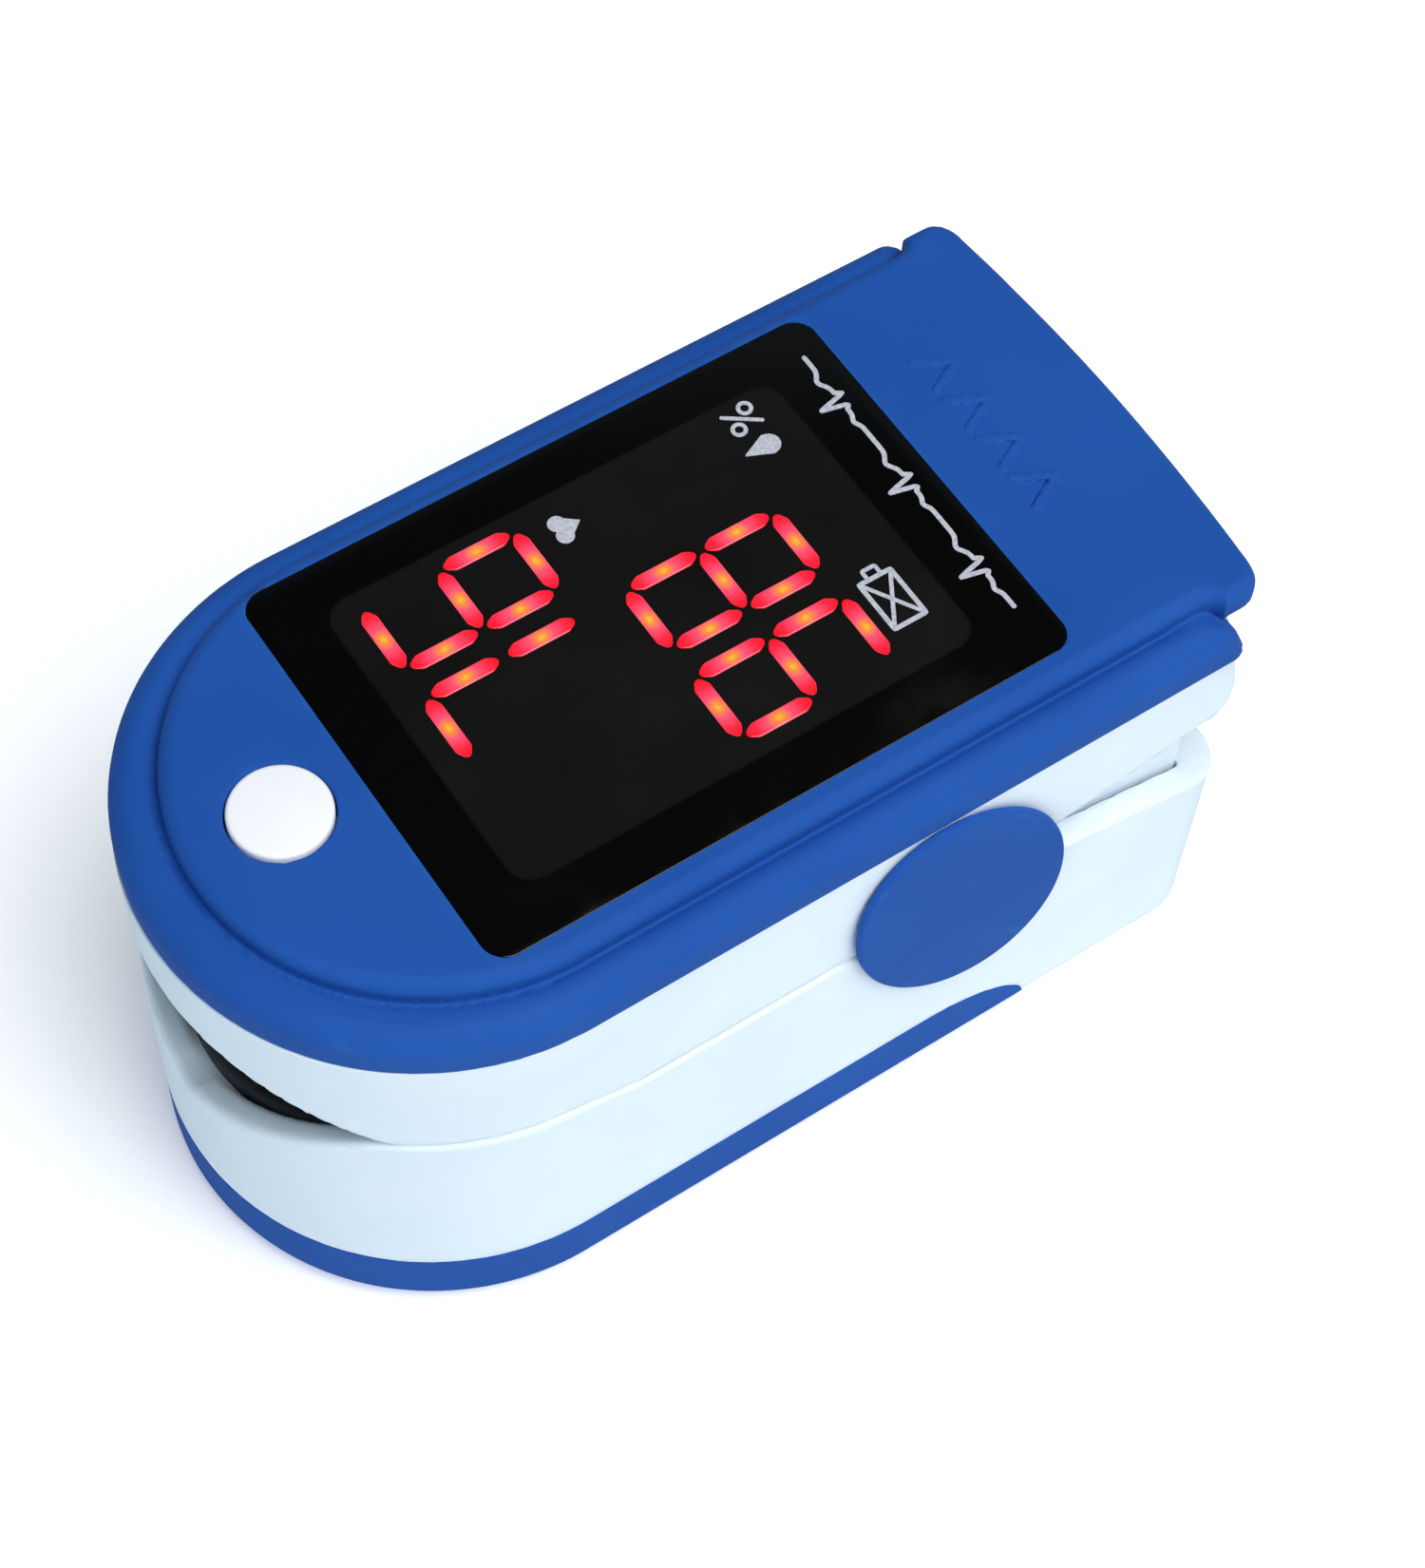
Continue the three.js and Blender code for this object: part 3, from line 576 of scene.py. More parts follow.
def cell_jacket():
    """A dark shrink sleeve with a copper band at the positive end and bare steel end faces."""
    look = Look("cell_jacket", 0.34)
    x, y, _ = look.node("SeparateXYZ", Vector=look.place).outputs
    to_positive = look.math("MULTIPLY", x, look.math("SIGN", look.math("MULTIPLY", y, -1.0)))
    band = look.map_range(to_positive, 10.0 * MM, 10.1 * MM)
    dark = look.tones(look.noise(0.4), (30, 31, 34), (44, 45, 49))
    copper = look.tones(look.noise(0.4), (176, 112, 58), (196, 131, 72))
    jacket = look.mix(band, dark, copper)
    normal = look.node("NewGeometry").outputs["Normal"]
    facing = look.node("SeparateXYZ", Vector=normal).outputs[0]
    end = look.map_range(look.math("ABSOLUTE", facing), 0.6, 0.7)
    look.colour(look.mix(end, jacket, linear((196, 196, 198))))
    look.feed(look.shader.inputs["Metallic"], look.math("MAXIMUM", end, look.math("MULTIPLY", band, 0.7)))
    look.roughness(look.noise(1.5), 0.28, 0.42)
    look.bump(look.noise(3.0), 0.01)
    return look.material


def circuit_board():
    """Green solder mask over copper tracks, which show as slightly paler lines."""
    look = Look("circuit_board", 0.4)
    cells = look.node("TexVoronoi", Vector=look.place, Scale=0.45 / MM)
    cells.distance = "MANHATTAN"
    tracks = look.map_range(cells.outputs["Distance"], 0.5, 0.56)
    mask = look.tones(look.noise(0.4), (18, 84, 48), (24, 98, 58))
    look.colour(look.mix(look.math("MULTIPLY", tracks, 0.5), mask, linear((58, 138, 84))))
    look.roughness(look.noise(1.5), 0.32, 0.5)
    look.bump(tracks, 0.02)
    return look.material


def amber_ribbon():
    """Amber film with copper conductors that run along it."""
    look = Look("amber_ribbon", 0.28)
    y = look.node("SeparateXYZ", Vector=look.place).outputs[1]
    wave = look.math("SINE", look.math("MULTIPLY", y, 2 * math.pi / (0.55 * MM)))
    lines = look.map_range(wave, -0.1, 0.25)
    film = look.tones(look.noise(0.6), (190, 104, 24), (206, 122, 34))
    look.colour(look.mix(look.math("MULTIPLY", lines, 0.6), film, linear((132, 66, 22))))
    look.roughness(look.noise(1.0), 0.22, 0.36)
    look.bump(lines, 0.02)
    return look.material


def clear_lens():
    look = Look("clear_window", 0.12)
    look.colour(look.tones(look.noise(0.8), (120, 26, 30), (140, 36, 38)))
    look.roughness(look.noise(1.5), 0.08, 0.2)
    look.bump(look.noise(2.0), 0.005)
    return look.material


SILICONE = silicone()
NICKEL = metal("nickel_contact", (214, 211, 203), (190, 187, 178), 0.28)
STEEL = metal("spring_steel", (168, 169, 172), (142, 143, 147), 0.32)
CELL = cell_jacket()
BOARD = circuit_board()
RIBBON = amber_ribbon()
LENS = clear_lens()
CHIP = plastic("black_component", (38, 38, 41), (28, 28, 31), (90, 90, 94), 0.5)
HOUSING = plastic("display_housing", (196, 198, 200), (182, 184, 187), (226, 227, 229), 0.5)
CREAM = plastic("cream_plastic", (222, 212, 186), (210, 199, 172), (240, 233, 214), 0.5)
GLASS = window_glass()
LIT = lit_segment()
INK = printed_ink()


# ---------------- upper jaw
def deck_outline():
    """Plan of the raised deck: it follows the rim and flares to the corners of the squeeze end."""
    side, tail, corner = 13.2, 14.0, 27.9
    nose = [(-12.5 - 13.4 * math.cos(a), side * math.sin(a)) for a in np.linspace(0, math.pi / 2, 49)]
    flare = [curve((23.9, side), (24.9, side), (25.2, tail), steps=6)]
    flare.append(curve((26.4, tail), (27.7, tail), (corner, 12.3)))
    back = curve((corner, 12.2), (28.49, 6.0), (REAR, 0), steps=16)
    return mirrored(np.concatenate([nose, *flare, back]))


DECK_OUTLINE = deck_outline()


def grip_marks(x, y, z):
    """Low raised chevrons that show where to squeeze."""
    marks = 10.0
    for middle in (-3.2, -0.3, 2.6, 5.5):
        for side in (-1, 1):
            stroke = capsule(x, y, (22.5, middle), (20.5, middle + side * 1.05), 0.24)
            marks = np.minimum(marks, stroke)
    return both(marks, between(z, DECK - 0.5, DECK + 0.2), 0.12)


def cover_field(x, y, z):
    plan = body_plan(x, y, COVER_HALF, NOSE, 60)
    end = (x - 25.15 - 0.45 * (30.6 - z)) * 0.91
    plan_and_end = both(plan, end, 1.0)
    deck = outline_distance(x, y, DECK_OUTLINE)
    valley = 0.26 * np.exp(-(deck / 0.36) ** 2) * (1 - smooth_step(x, 22.0, 24.0))
    rim = both(both(plan_and_end, z - RIM_TOP + valley, 1.45), COVER_BASE - z, 0.1)
    plateau = both(both(deck, z - DECK, 0.85), 29.95 - z, 0.1)
    solid = either(rim, plateau, 0.22)
    back = both(body_plan(x, y, 13.0, NOSE, 26.9, 2.2), between(z, COVER_BASE, DECK - 0.9))
    solid = either(solid, both(back, 24 - x), 0.1)
    solid = either(solid, grip_marks(x, y, z), 0.06)
    hollow = both(body_plan(x, y, SHELL_HALF - 1.9, NOSE - 1.9, 25.2, 2.0), z - 29.6, 0.6)
    solid = without(solid, hollow, 0.1)
    gap = 0.02
    recess = rectangle(x, y, WINDOW_LOW - gap, WINDOW_HIGH + gap, 1.32)
    solid = without(solid, both(recess, WINDOW_LOW[2] - 0.15 - z), 0.03)
    opening = rectangle(x, y, WINDOW_LOW + 2.4, WINDOW_HIGH - 2.4, 0.8)
    solid = without(solid, opening)
    button_hole = np.hypot(x - BUTTON[0], y - BUTTON[1]) - BUTTON_RADIUS - 0.1
    return without(solid, button_hole, 0.12)


def upper_shell_field(x, y, z):
    high = smooth_step(z, 22.5, 27.6)
    plan = body_plan(x, y, SHELL_HALF, NOSE, SHELL_REAR - 1.1 * high, SHELL_CORNER + 0.4 * high)
    plan = plan + 0.1 - 0.02 * (z - PARTING)
    outer = both(plan, z - COVER_BASE + 0.1, 0.12)
    outer = both(outer, upper_edge(x) - z, 0.3)
    inside = body_plan(x, y, SHELL_HALF - WALL, NOSE - WALL, SHELL_REAR - WALL, 2.2)
    outer = without(outer, both(inside, z - TRAY_BOTTOM, 0.8), 0.25)
    outer = without(outer, both(inside, TRAY_TOP - z, 0.4))
    solid = either(outer, both(ear(x, y, z, 10.6, 11.8, 1), z - 24.4), 0.4)
    solid = without(solid, mouth(x, y, z), 0.4)
    solid = with_hinge_holes(solid, x, y, z)
    tray = between(z, 23, 26)
    solid = without(solid, both(lens_hole(x, y, 3.4), tray))
    ribbon_slot = rectangle(x, y, (5.2, -2.8), (7.2, 2.8), 0.3)
    return without(solid, both(ribbon_slot, tray))


def build_upper_jaw():
    cover = case_piece("blue_top_cover", cover_field, COVER_BASE - 1, COVER_HIGH[2] + 1, 0.32)
    finish_piece(cover, "upper_jaw", BLUE, "blue_plastic", "top_cover")
    shell = case_piece("white_upper_shell", upper_shell_field, 14.5, COVER_BASE + 1, 0.34)
    finish_piece(shell, "upper_jaw", WHITE, "white_plastic", "upper_shell")


# ---------------- lower jaw
INNER_REAR = 25.35              # front face of the thick rear wall
TONGUE_GAP = 0.2                # groove between the outer wall and the tongue inside it
TONGUE_FACE = SHELL_HALF - WALL - TONGUE_GAP


def lip(x):
    """Extra thickness of the lower jaw's wall round the finger mouth."""
    return 0.33 * smooth_step(-x, 8, 14)


def door_space(x, z, grow=0.0):
    """Side view of the space that the battery door takes, with its rounded rear top corner."""
    corner = 8.5
    behind = ellipse(np.maximum(x - corner, 0), z, 7.6 + grow, DOOR_TOP + grow)
    return np.where(x < corner, z - DOOR_TOP - grow, behind)


def drafted_plan(x, y, z):
    """Plan of the lower jaw, which narrows a little towards its base."""
    return body_plan(x, y) + 0.006 * (PARTING - z)


def lower_shell_field(x, y, z):
    plan = drafted_plan(x, y, z)
    outer = both(plan, -z, 2.0)
    outer = both(outer, z - lower_edge(x), 0.35)
    door = door_space(x, z, 0.08)
    skin = without(outer, door, 0.12)
    core = both(body_plan(x, y, SHELL_HALF - 1.65, NOSE - 1.65), 1.5 - z, 0.3)
    core = both(core, both(door_space(x, z, 0.4), x - 15.9))
    solid = either(skin, core)
    wall = WALL + lip(x)
    inside = body_plan(x, y, SHELL_HALF - wall, NOSE - wall, INNER_REAR, 0.3)
    solid = without(solid, both(inside, SHELF_TOP - z, 0.6), 0.15)
    tongue = both(between(np.abs(y), 12.3, TONGUE_FACE), between(x, 12.6, INNER_REAR - TONGUE_GAP))
    tongue = both(tongue, between(z, SHELF_TOP - 1, 20.4 - 0.17 * (x - 12.6)), 0.2)
    solid = np.minimum(solid, tongue)
    bay = rectangle(x, y, (-22.5, -10.95), (26.4, 10.95), 0.6)
    bay = both(bay, (np.abs(y) - 10.95) * 0.69 + (-20.6 - x) * 0.72)
    bay = both(bay, z - BAY_TOP, 0.5)
    bay = both(bay, 1.35 - z)
    solid = without(solid, bay, 0.1)
    free_ear = both(ear(x, y, z, 12.1, 13.3, -1), 12.7 - z)
    root = both(np.abs(x - PIVOT_X) - EAR_RADIUS, between(z, 12.7, 16.2), 0.3)
    root = both(root, between(np.abs(y), 12.1, 14.2))
    solid = either(solid, either(free_ear, root, 0.2), 0.3)
    solid = without(solid, mouth(x, y, z), 0.55)
    solid = with_hinge_holes(solid, x, y, z)
    rail_groove = both(between(z, 2.9, 4.3), between(np.abs(y), 12.8, 14.0))
    solid = without(solid, both(rail_groove, x - 14.6))
    board_pocket = rectangle(x, y, (-14.3, -3.3), (-2.4, 3.3), 0.3)
    return without(solid, both(board_pocket, between(z, 11, 14)))


def build_lower_jaw():
    shell = case_piece("white_lower_shell", lower_shell_field, -1, 22.5, 0.36)
    finish_piece(shell, "lower_jaw", WHITE, "white_plastic", "lower_shell")


def door_field(x, y, z):
    plan = drafted_plan(x, y, z)
    outer = both(both(plan, -z, 1.7), door_space(x, z), 0.15)
    inside = body_plan(x, y, SHELL_HALF - 1.2, NOSE - 1.2, 40)
    solid = without(outer, both(inside, 1.2 - z, 0.5), 0.1)
    rail = both(between(z, 3.2, 4.0), between(np.abs(y), 13.1, 14.2))
    solid = either(solid, both(rail, between(x, -9, 10)), 0.1)
    for i in range(6):
        line = -24.0 + 1.3 * i
        reach = 5.0 + 0.8 * i
        groove = capsule(x, y, (line, -reach), (line, reach), 0.3)
        solid = without(solid, both(groove, z - 0.3), 0.12)
    return solid


def build_door():
    door = case_piece("blue_battery_door", door_field, -1, DOOR_TOP + 1, 0.32, rear=DOOR_HIGH[0] + 1.5)
    finish_piece(door, "battery_door", BLUE, "blue_plastic", "battery_door")


# ---------------- finger pads
PAD_CORNER = 0.4
PAD_SETBACK = 0.15              # how far the pads stop short of the jaws' edges


def lower_pad_field(x, y, z):
    wall = WALL + lip(x) + 0.1
    plan = body_plan(x, y, SHELL_HALF - wall, NOSE - wall, PAD_REAR, PAD_CORNER)
    block = both(plan, between(z, SHELF_TOP + 0.06, 22), 0.3)
    block = both(block, z - lower_edge(x) + PAD_SETBACK, 0.4)
    pad = without(block, tunnel(x, y, z), 0.5)
    ribbon_channel = both(rectangle(x, y, (-5, -2.5), (9, 2.5), 0.3), z - 14.0)
    pad = without(pad, ribbon_channel)
    return without(pad, lens_hole(x, y), 0.3)


def upper_pad_field(x, y, z):
    plan = body_plan(x, y, SHELL_HALF - WALL - 0.1, NOSE - WALL - 0.1, PAD_REAR, PAD_CORNER)
    block = both(both(plan, z - 23.7, 0.3), upper_edge(x) + PAD_SETBACK - z, 0.4)
    pad = without(block, tunnel(x, y, z), 0.5)
    return without(pad, lens_hole(x, y), 0.3)


def build_pads():
    for name, field, body, node, span in (
        ("lower_silicone_pad", lower_pad_field, "lower_jaw", "lower_finger_pad", (12.9, 20.5)),
        ("upper_silicone_pad", upper_pad_field, "upper_jaw", "upper_finger_pad", (17.0, 24.7)),
    ):
        pad = case_piece(name, field, *span, 0.34, rear=PAD_REAR + 1, half=15)
        finish_piece(pad, body, SILICONE, "black_silicone", node)


# ---------------- caps, button and window
def ring_faces(count, rings):
    """Faces of a closed solid made of rings of count points each, with a flat face at both ends."""
    faces = []
    for a in range(0, (rings - 1) * count, count):
        for i in range(count):
            j = (i + 1) % count
            faces.append([a + i, a + j, a + count + j, a + count + i])
    faces.append(list(range(count))[::-1])
    faces.append(list(range((rings - 1) * count, rings * count)))
    return faces


def ring_stack(name, outline, profile):
    """A closed solid from an outline at several insets. profile lists (inset, height) from bottom to top."""
    rings = []
    for inset, height in profile:
        ring = outline(inset)
        rings.append(np.column_stack([ring, np.full(len(ring), height)]))
    return new_mesh(name, np.concatenate(rings), ring_faces(len(rings[0]), len(rings)))


def rounding(inset, height, radius, steps=6):
    """Profile points of a rounded top edge that ends at an inset and a height."""
    angles = np.linspace(0, math.pi / 2, steps + 1)
    return [(inset + radius * (1 - math.cos(a)), height - radius + radius * math.sin(a)) for a in angles]


def build_caps():
    long_radius, short_radius = 9.1, 6.2
    tilt = math.radians(113.5)
    angles = around(160)

    def oval(inset):
        along, across = (long_radius - inset) * np.cos(angles), (short_radius - inset) * np.sin(angles)
        return np.column_stack([along * math.cos(tilt) - across * math.sin(tilt),
                                along * math.sin(tilt) + across * math.cos(tilt)])

    outer = -cad("hinge_cap_right")[0][1]
    inner = SHELL_HALF + 0.12
    profile = [(0.15, inner), (0.0, inner + 0.12)] + rounding(0.0, outer - 0.03, 0.24)
    profile += [(0.5, outer - 0.03), (0.62, outer), (2.0, outer + 0.02), (4.0, outer + 0.04)]
    for side, node in ((-1, "hinge_cap_right"), (1, "hinge_cap_left")):
        cap = ring_stack(f"blue_{node}", oval, profile)
        height = PIVOT_Z + 0.2
        cap.data.transform(Matrix((
            (1, 0, 0, PIVOT_X * MM),
            (0, 0, side, 0),
            (0, 1, 0, height * MM),
            (0, 0, 0, 1),
        )))
        if side > 0:
            cap.data.flip_normals()
        finish_piece(cap, "lower_jaw", BLUE, "blue_plastic", node)


def build_button():
    angles = around(96)

    def circle(inset):
        radius = BUTTON_RADIUS - inset
        return np.column_stack([BUTTON[0] + radius * np.cos(angles), BUTTON[1] + radius * np.sin(angles)])

    top = BUTTON_HIGH[2]
    base = BUTTON_LOW[2]
    profile = [(-0.85, base), (-0.85, base + 0.4), (0.0, base + 0.42)] + rounding(0.0, top - 0.08, 0.25)
    profile += [(0.6, top - 0.06), (1.0, top - 0.03), (1.6, top - 0.01), (2.1, top), (2.5, top)]
    button = ring_stack("white_power_button", circle, profile)
    finish_piece(button, "power_button", BUTTON_WHITE, "white_plastic", "power_button")


def build_window():
    def plan(inset):
        low, high = WINDOW_LOW + inset, WINDOW_HIGH - inset
        radius = max(1.3 - inset, 0.1)
        left, right = low[0] + radius, high[0] - radius
        bottom, top = low[1] + radius, high[1] - radius
        points = []
        for quarter, (cx, cy) in enumerate(((right, top), (left, top), (left, bottom), (right, bottom))):
            for step in range(13):
                angle = math.radians(90 * quarter + step * 7.5)
                points.append((cx + radius * math.cos(angle), cy + radius * math.sin(angle)))
        return np.array(points)

    profile = [(0.1, WINDOW_LOW[2]), (0.0, WINDOW_LOW[2] + 0.1)] + rounding(0.0, DECK - 0.02, 0.03, 2)
    window = ring_stack("black_display_window", plan, profile)
    finish_piece(window, "upper_jaw", GLASS, "black_window", "display_window")


# ---------------- parts inside the case
def tube(name, path, radius, sides=12):
    """A round wire along a list of points, closed with flat ends."""
    path = np.array(path, float)
    along = np.gradient(path, axis=0)
    along /= np.linalg.norm(along, axis=1, keepdims=True)
    across = np.cross(along[0], (0.31, 0.9, 0.28))
    points = []
    for place, forward in zip(path, along):
        across = across - forward * (across @ forward)
        across /= np.linalg.norm(across)
        other = np.cross(forward, across)
        for angle in around(sides):
            points.append(place + radius * (math.cos(angle) * across + math.sin(angle) * other))
    return new_mesh(name, points, ring_faces(sides, len(path)), 40)


def smooth_path(points, steps=10):
    """A smooth curve through points in 2-D or 3-D."""
    points = np.array(points, float)
    padded = np.concatenate([2 * points[:1] - points[1:2], points, 2 * points[-1:] - points[-2:-1]])
    t = np.linspace(0, 1, steps + 1)[:-1, None]
    found = []
    for a, b, c, d in zip(padded, padded[1:], padded[2:], padded[3:]):
        square, cube = 2 * a - 5 * b + 4 * c - d, 3 * b - a - 3 * c + d
        found.append(0.5 * (2 * b + (c - a) * t + square * t ** 2 + cube * t ** 3))
    return np.concatenate([*found, points[-1:]])


def build_torsion_springs():
    """Each spring coils round the pin, with one leg on the lower jaw and one under the upper jaw's tray."""
    radius, wire, inner, outer = 1.9, 0.35, 6.6, 9.8
    lower_leg = ((20.5, 0.75), (18, 1.1), (15, 1.6), (13.3, 2.1))
    upper_leg = ((13.3, 2.25), (15, 1.8), (18, 1.2), (20.5, 0.75))
    rise = math.pi * 0.14
    sweep = 7 * math.pi - 2 * rise
    for side, name in ((1, "torsion_spring_left"), (-1, "torsion_spring_right")):
        path = [(x, side * inner, SHELF_TOP + lift) for x, lift in lower_leg]
        for t in np.linspace(0, 1, 180):
            angle = -math.pi / 2 + rise - t * sweep
            y = side * (inner + (outer - inner) * t)
            path.append((PIVOT_X + radius * math.cos(angle), y, PIVOT_Z + radius * math.sin(angle)))
        path += [(x, side * outer, TRAY_BOTTOM - drop) for x, drop in upper_leg]
        spring = tube(f"coiled_{name}", path, wire)
        spring.data.materials.append(STEEL)
        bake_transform(spring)
        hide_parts(name)


def build_ribbon():
    """The flat cable between the two boards. It bends up beside the hinge pin."""
    route = smooth_path([(-3.6, 12.75), (-3, 13.1), (-2, 13.5), (1, 13.55), (4, 13.6), (5.7, 14.4), (6.1, 16),
                         (6.2, 18.6), (6.2, 21), (6.2, 23), (6.2, 25.3)])
    along = np.gradient(route, axis=0)
    along /= np.linalg.norm(along, axis=1, keepdims=True)
    across = np.column_stack([-along[:, 1], along[:, 0]])
    half_width, half_depth, chamfer = 2.2, 0.12, 0.06
    edge = half_width - chamfer
    section = [(-chamfer, -half_width), (chamfer, -half_width), (half_depth, -edge), (half_depth, edge),
               (chamfer, half_width), (-chamfer, half_width), (-half_depth, edge), (-half_depth, -edge)]
    points = []
    for place, normal in zip(route, across):
        for lift, y in section:
            points.append((place[0] + lift * normal[0], y, place[1] + lift * normal[1]))
    ribbon = new_mesh("flat_ribbon_cable", points, ring_faces(len(section), len(route)))
    ribbon.data.materials.append(RIBBON)
    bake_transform(ribbon)
    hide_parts("hinge_ribbon_cable")


def build_cells():
    """Two AAA cells, nose to tail, with crimped ends and a positive nub."""
    radius = (CELL_HIGH[2] - CELL_LOW[2]) / 2
    length = CELL_HIGH[0] - CELL_LOW[0]
    middle = (CELL_LOW[0] + CELL_HIGH[0]) / 2
    body = length - 0.9
    profile = [(0.01, 0.15), (3.4, 0.15), (3.6, 0.0), (radius - 0.35, 0.0), (radius - 0.1, 0.1),
               (radius, 0.35), (radius, body - 0.35), (radius - 0.1, body - 0.1), (radius - 0.35, body),
               (radius - 0.9, body - 0.12), (2.2, body - 0.12), (1.95, body), (1.85, length - 0.15),
               (1.7, length), (0.01, length)]
    angles = around(64)
    for node, sign in (("battery_left", -1), ("battery_right", 1)):
        points = []
        for r, h in profile:
            points += [((h - length / 2) * sign, r * math.cos(a) * sign, r * math.sin(a)) for a in angles]
        points = np.array(points) + (middle, -sign * CELL_Y, CELL_Z)
        cell = new_mesh(f"{node}_aaa_cell", points, ring_faces(len(angles), len(profile)), 25)
        finish_piece(cell, "lower_jaw", CELL, "cell_jacket", node)


def build_contact_springs():
    """Conical springs, wide at the contact plate and narrow where they meet the cell."""
    wire, turns, wide, narrow = 0.25, 3, 3.4, 1.6
    for end, y in (("front", -CELL_Y), ("rear", CELL_Y)):
        node = f"{end}_contact_spring"
        low, high = cad(node)
        foot, tip = low[0] + wire, high[0] - wire
        if end == "rear":
            foot, tip = tip, foot
        path = []
        for t in np.linspace(0, 1, 120):
            angle, radius = t * 2 * turns * math.pi, wide + (narrow - wide) * t
            x = foot + (tip - foot) * t
            path.append((x, y + radius * math.cos(angle), CELL_Z + radius * math.sin(angle)))
        finish_piece(tube(f"{end}_cone_spring", path, wire), "lower_jaw", NICKEL, "nickel_contact", node)


def dress_frame_nodes():
    """Materials for the small parts that keep their CAD shape."""
    looks = {
        NICKEL: ("front_contact_plate", "front_spring_plate", "rear_contact_bridge"),
        STEEL: ("hinge_pin", "board_screw_1", "board_screw_2", "board_screw_3", "board_screw_4"),
        BOARD: ("sensor_board", "main_board"),
        CHIP: ("photodiode", "processor_chip", "power_inductor", "tact_switch"),
        HOUSING: ("led_display_module", "clock_crystal"),
        LENS: ("sensor_window", "emitter_window", "led_emitter"),
        CREAM: ("ribbon_connector",),
        BUTTON_WHITE: ("switch_plunger",),
    }
    for look, names in looks.items():
        for name in names:
            mesh = frame["nodes"][name].data
            mesh.materials.clear()
            mesh.materials.append(look)


# ---------------- display
SEGMENT_LENGTH = 3.78
SEGMENT_WIDTH = 0.88
COLUMN = 4.12                    # between the two upright bars of a digit
ROW = 4.4                        # between neighbouring level bars
SEGMENTS = {                     # place in rows down and columns across, and whether the bar is upright
    "a": (0, 0.5, False), "b": (0.5, 1, True), "c": (1.5, 1, True), "d": (2, 0.5, False),
    "e": (1.5, 0, True), "f": (0.5, 0, True), "g": (1, 0.5, False),
}
DIGITS = {"6": "acdefg", "7": "abc", "8": "abcdefg", "9": "abcdfg"}
ROWS = (("pulse", -11.42, (("7", 0.45), ("6", 6.52))), ("oxygen", 0.22, (("9", -5.57), ("8", 0.54))))


def segment_mesh(x, y, upright, points, faces, glow):
    """One lit bar with tapered ends. It stands a hair above the glass."""
    across, along = 8, 32
    start = len(points)
    for i in range(along + 1):
        u = math.sin(math.pi / 2 * (2 * i / along - 1))
        from_end = SEGMENT_LENGTH / 2 * (1 - abs(u))
        taper = min(1.0, 0.35 + 0.65 * from_end / 0.5) * math.sqrt(min(1.0, from_end / 0.12 + 0.2))
        for j in range(across + 1):
            v = 2 * j / across - 1
            along_mm, across_mm = u * SEGMENT_LENGTH / 2, v * taper * SEGMENT_WIDTH / 2
            dx, dy = (along_mm, across_mm) if upright else (across_mm, along_mm)
            points.append((x + dx, y + dy, DECK + 0.02))
            glow.append(min(1.0, math.hypot(u, 0.3 * v)))
    row = across + 1
    for i in range(along):
        for j in range(across):
            a = start + i * row + j
            quad = [a, a + row, a + row + 1, a + 1]
            faces.append(quad if upright else quad[::-1])


def build_digits():
    for row_name, top, digits in ROWS:
        for digit, middle in digits:
            points, faces, glow = [], [], []
            for letter in DIGITS[digit]:
                down, across, upright = SEGMENTS[letter]
                segment_mesh(top + down * ROW, middle + (across - 0.5) * COLUMN, upright, points, faces, glow)
            obj = new_mesh(f"{row_name}_digit_{digit}", points, faces)
            solidify = obj.modifiers.new("thickness", "SOLIDIFY")
            solidify.thickness = 0.03 * MM
            solidify.offset = -1
            values = obj.data.attributes.new("glow", "FLOAT", "POINT")
            values.data.foreach_set("value", glow)
            finish_piece(obj, "upper_jaw", LIT, "display_housing")


def battery_sign(x, y):
    low, high = (10.15, -6.45), (12.05, -3.35)
    frame_line = np.abs(rectangle(x, y, low, high, 0.12)) - 0.13
    tip = np.abs(rectangle(x, y, (10.72, -3.35), (11.5, -2.75), 0.1)) - 0.11
    rising = capsule(x, y, low, high, 0.11)
    falling = capsule(x, y, (low[0], high[1]), (high[0], low[1]), 0.11)
    return np.minimum(np.minimum(frame_line, tip), np.minimum(rising, falling))


def drop_sign(x, y):
    """A drop, for the oxygen reading, with its point to the squeeze end."""
    cx, cy = 11.3, 6.3
    ball = np.hypot(x - cx, y - cy) - 0.62
    cone = both((np.abs(y - cy) + 0.44 * (cx - x)) * 0.915 - 0.62, x - cx)
    return either(ball, both(cone, cx - 1.45 - x), 0.05)


def percent_sign(x, y):
    bar = capsule(x, y, (11.85, 7.75), (10.15, 8.95), 0.11)
    rings = [np.abs(np.hypot(x - a, y - b) - 0.34) - 0.11 for a, b in ((10.5, 7.85), (11.5, 8.85))]
    return np.minimum(bar, np.minimum(*rings))


def heart_sign(x, y):
    """A heart, for the pulse reading."""
    cx, cy = -0.55, 7.45
    lobes = np.hypot(x - cx, np.abs(y - cy) - 0.42) - 0.48
    wedge = (x - cx) * 0.62 + np.abs(y - cy) * 0.785 - 0.706
    return np.minimum(lobes, both(wedge, cx + 0.1 - x))


def trace_line(x, y):
    """A printed pulse trace along the window's top border."""
    base, start, length = 15.95, -8.5, 18.4
    beats = 3
    along = np.linspace(0, 1, 60)
    small, tall = np.exp(-((along - 0.22) / 0.05) ** 2), np.exp(-((along - 0.72) / 0.07) ** 2)
    spike = np.interp(along, [0.36, 0.4, 0.46, 0.52, 0.56], [0, 0.25, -1.25, 0.4, 0])
    height = base - 0.2 * small - 0.35 * tall + spike
    line = 10.0
    for beat in range(beats):
        y_values = start + length * (beat + along) / beats
        for i in range(len(along) - 1):
            stroke = capsule(x, y, (height[i], y_values[i]), (height[i + 1], y_values[i + 1]), 0.13)
            line = np.minimum(line, stroke)
    return line


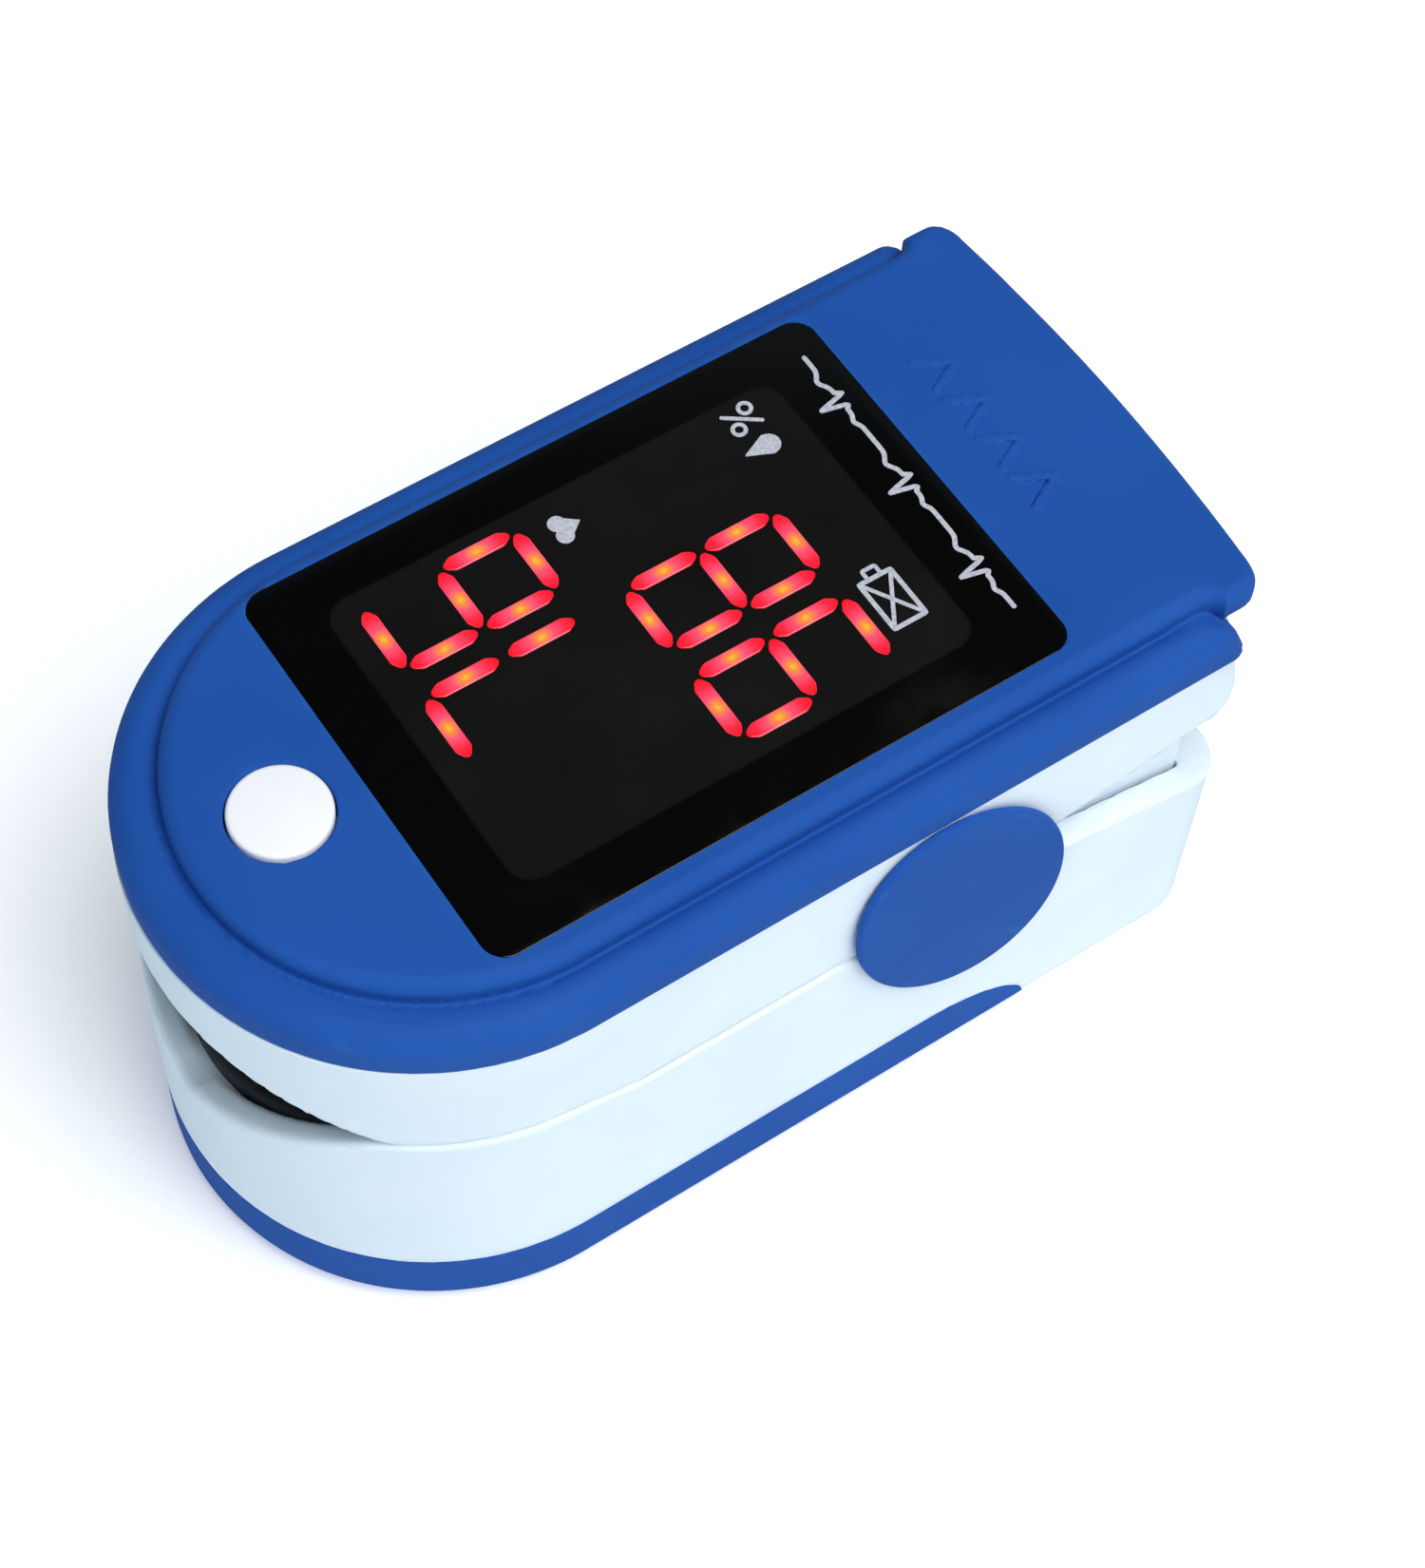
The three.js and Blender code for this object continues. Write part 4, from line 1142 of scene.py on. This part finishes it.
def build_marks():
    signs = (
        ("battery_sign", battery_sign, (9.8, -6.8), (12.4, -2.3)),
        ("oxygen_drop_sign", drop_sign, (9.3, 5.3), (12.3, 7.1)),
        ("percent_sign", percent_sign, (9.7, 7.2), (12.3, 9.7)),
        ("heart_sign", heart_sign, (-1.4, 6.2), (1.0, 8.8)),
        ("pulse_trace", trace_line, (14.5, -9.1), (16.9, 10.6)),
    )
    for name, sign, low, high in signs:
        def field(x, y, z, sign=sign):
            return both(sign(x, y), between(z, DECK - 0.12, DECK + 0.02))
        mark = new_mesh(name, *contour(field, (*low, DECK - 0.2), (*high, DECK + 0.1), 0.045), 40)
        finish_piece(mark, "upper_jaw", INK, "white_plastic")


# ---------------- stage
def build_stage():
    floor_size = 6.0
    bpy.ops.mesh.primitive_plane_add(size=floor_size)
    floor = bpy.context.object
    floor.name = "studio_floor"
    look = Look("studio_floor", 0.9, specular=0.1)
    look.colour(look.ramp(look.noise(0.01), [(0.3, (0.93, 0.93, 0.935, 1)), (0.7, (0.95, 0.95, 0.955, 1))]))
    look.shader.inputs["Emission Color"].default_value = (1, 1, 1, 1)
    look.shader.inputs["Emission Strength"].default_value = 0.28
    floor.data.materials.append(look.material)
    floor.visible_glossy = False
    build_world()


def build_world():
    """A dim bluish room: paler at the horizon and dark overhead, so that the glass stays black."""
    world = bpy.data.worlds.new("studio")
    world.use_nodes = True
    nodes, links = world.node_tree.nodes, world.node_tree.links
    direction = nodes.new("ShaderNodeSeparateXYZ")
    links.new(nodes.new("ShaderNodeTexCoord").outputs["Generated"], direction.inputs[0])
    ramp = nodes.new("ShaderNodeValToRGB")
    links.new(direction.outputs["Z"], ramp.inputs["Fac"])
    levels = ((0.0, 0.5), (0.14, 0.5), (0.24, 0.2), (0.75, 0.03))
    set_stops(ramp, [(position, (0.68 * level, 0.87 * level, level, 1)) for position, level in levels])
    links.new(ramp.outputs["Color"], nodes["Background"].inputs["Color"])
    bpy.context.scene.world = world
    bpy.context.scene.view_settings.view_transform = "Standard"


def area_light(name, place, aim, size, power, colour=(1, 1, 1)):
    light = bpy.data.lights.new(name, "AREA")
    light.shape = "DISK"
    light.size = size
    light.energy = power
    light.color = colour
    obj = bpy.data.objects.new(name, light)
    obj.location = place
    obj.rotation_euler = (Vector(aim) - Vector(place)).to_track_quat("-Z", "Y").to_euler()
    bpy.context.scene.collection.objects.link(obj)


def build_lights():
    middle = (0, 0, 0.016)
    area_light("key_light", (0.11, -0.36, 0.79), middle, 0.7, 8.2)
    area_light("fill_light", (-0.62, -0.1, 0.5), middle, 0.6, 1.1, (0.55, 0.82, 1.0))


def build_camera():
    """The camera, from its angles round the object and where the aim point falls in the picture."""
    azimuth, elevation, roll = math.radians(-36.89), math.radians(58.72), math.radians(3.68)
    aim_across, aim_up, distance = 4.055 * MM, 8.755 * MM, 199.78 * MM
    long_side, focal_in_pixels = 1650, 3690.3
    level = math.cos(elevation)
    back = Vector((math.sin(azimuth) * level, -math.cos(azimuth) * level, math.sin(elevation)))
    right = Vector((math.cos(azimuth), math.sin(azimuth), 0))
    up = back.cross(right)
    turned_right = math.cos(roll) * right + math.sin(roll) * up
    turned_up = math.cos(roll) * up - math.sin(roll) * right
    data = bpy.data.cameras.new("camera")
    data.sensor_width = 36
    data.lens = 36 * focal_in_pixels / long_side
    data.clip_start, data.clip_end = 0.01, 10
    camera = bpy.data.objects.new("camera", data)
    bpy.context.scene.collection.objects.link(camera)
    place = aim_across * turned_right + aim_up * turned_up + distance * back
    camera.matrix_world = Matrix((
        (turned_right.x, turned_up.x, back.x, place.x),
        (turned_right.y, turned_up.y, back.y, place.y),
        (turned_right.z, turned_up.z, back.z, place.z),
        (0, 0, 0, 1),
    ))
    bpy.context.scene.camera = camera


build_stage()
build_lights()
build_camera()
build_upper_jaw()
build_lower_jaw()
build_door()
build_pads()
build_caps()
build_button()
build_window()
build_digits()
build_marks()
build_torsion_springs()
build_ribbon()
build_cells()
build_contact_springs()
dress_frame_nodes()
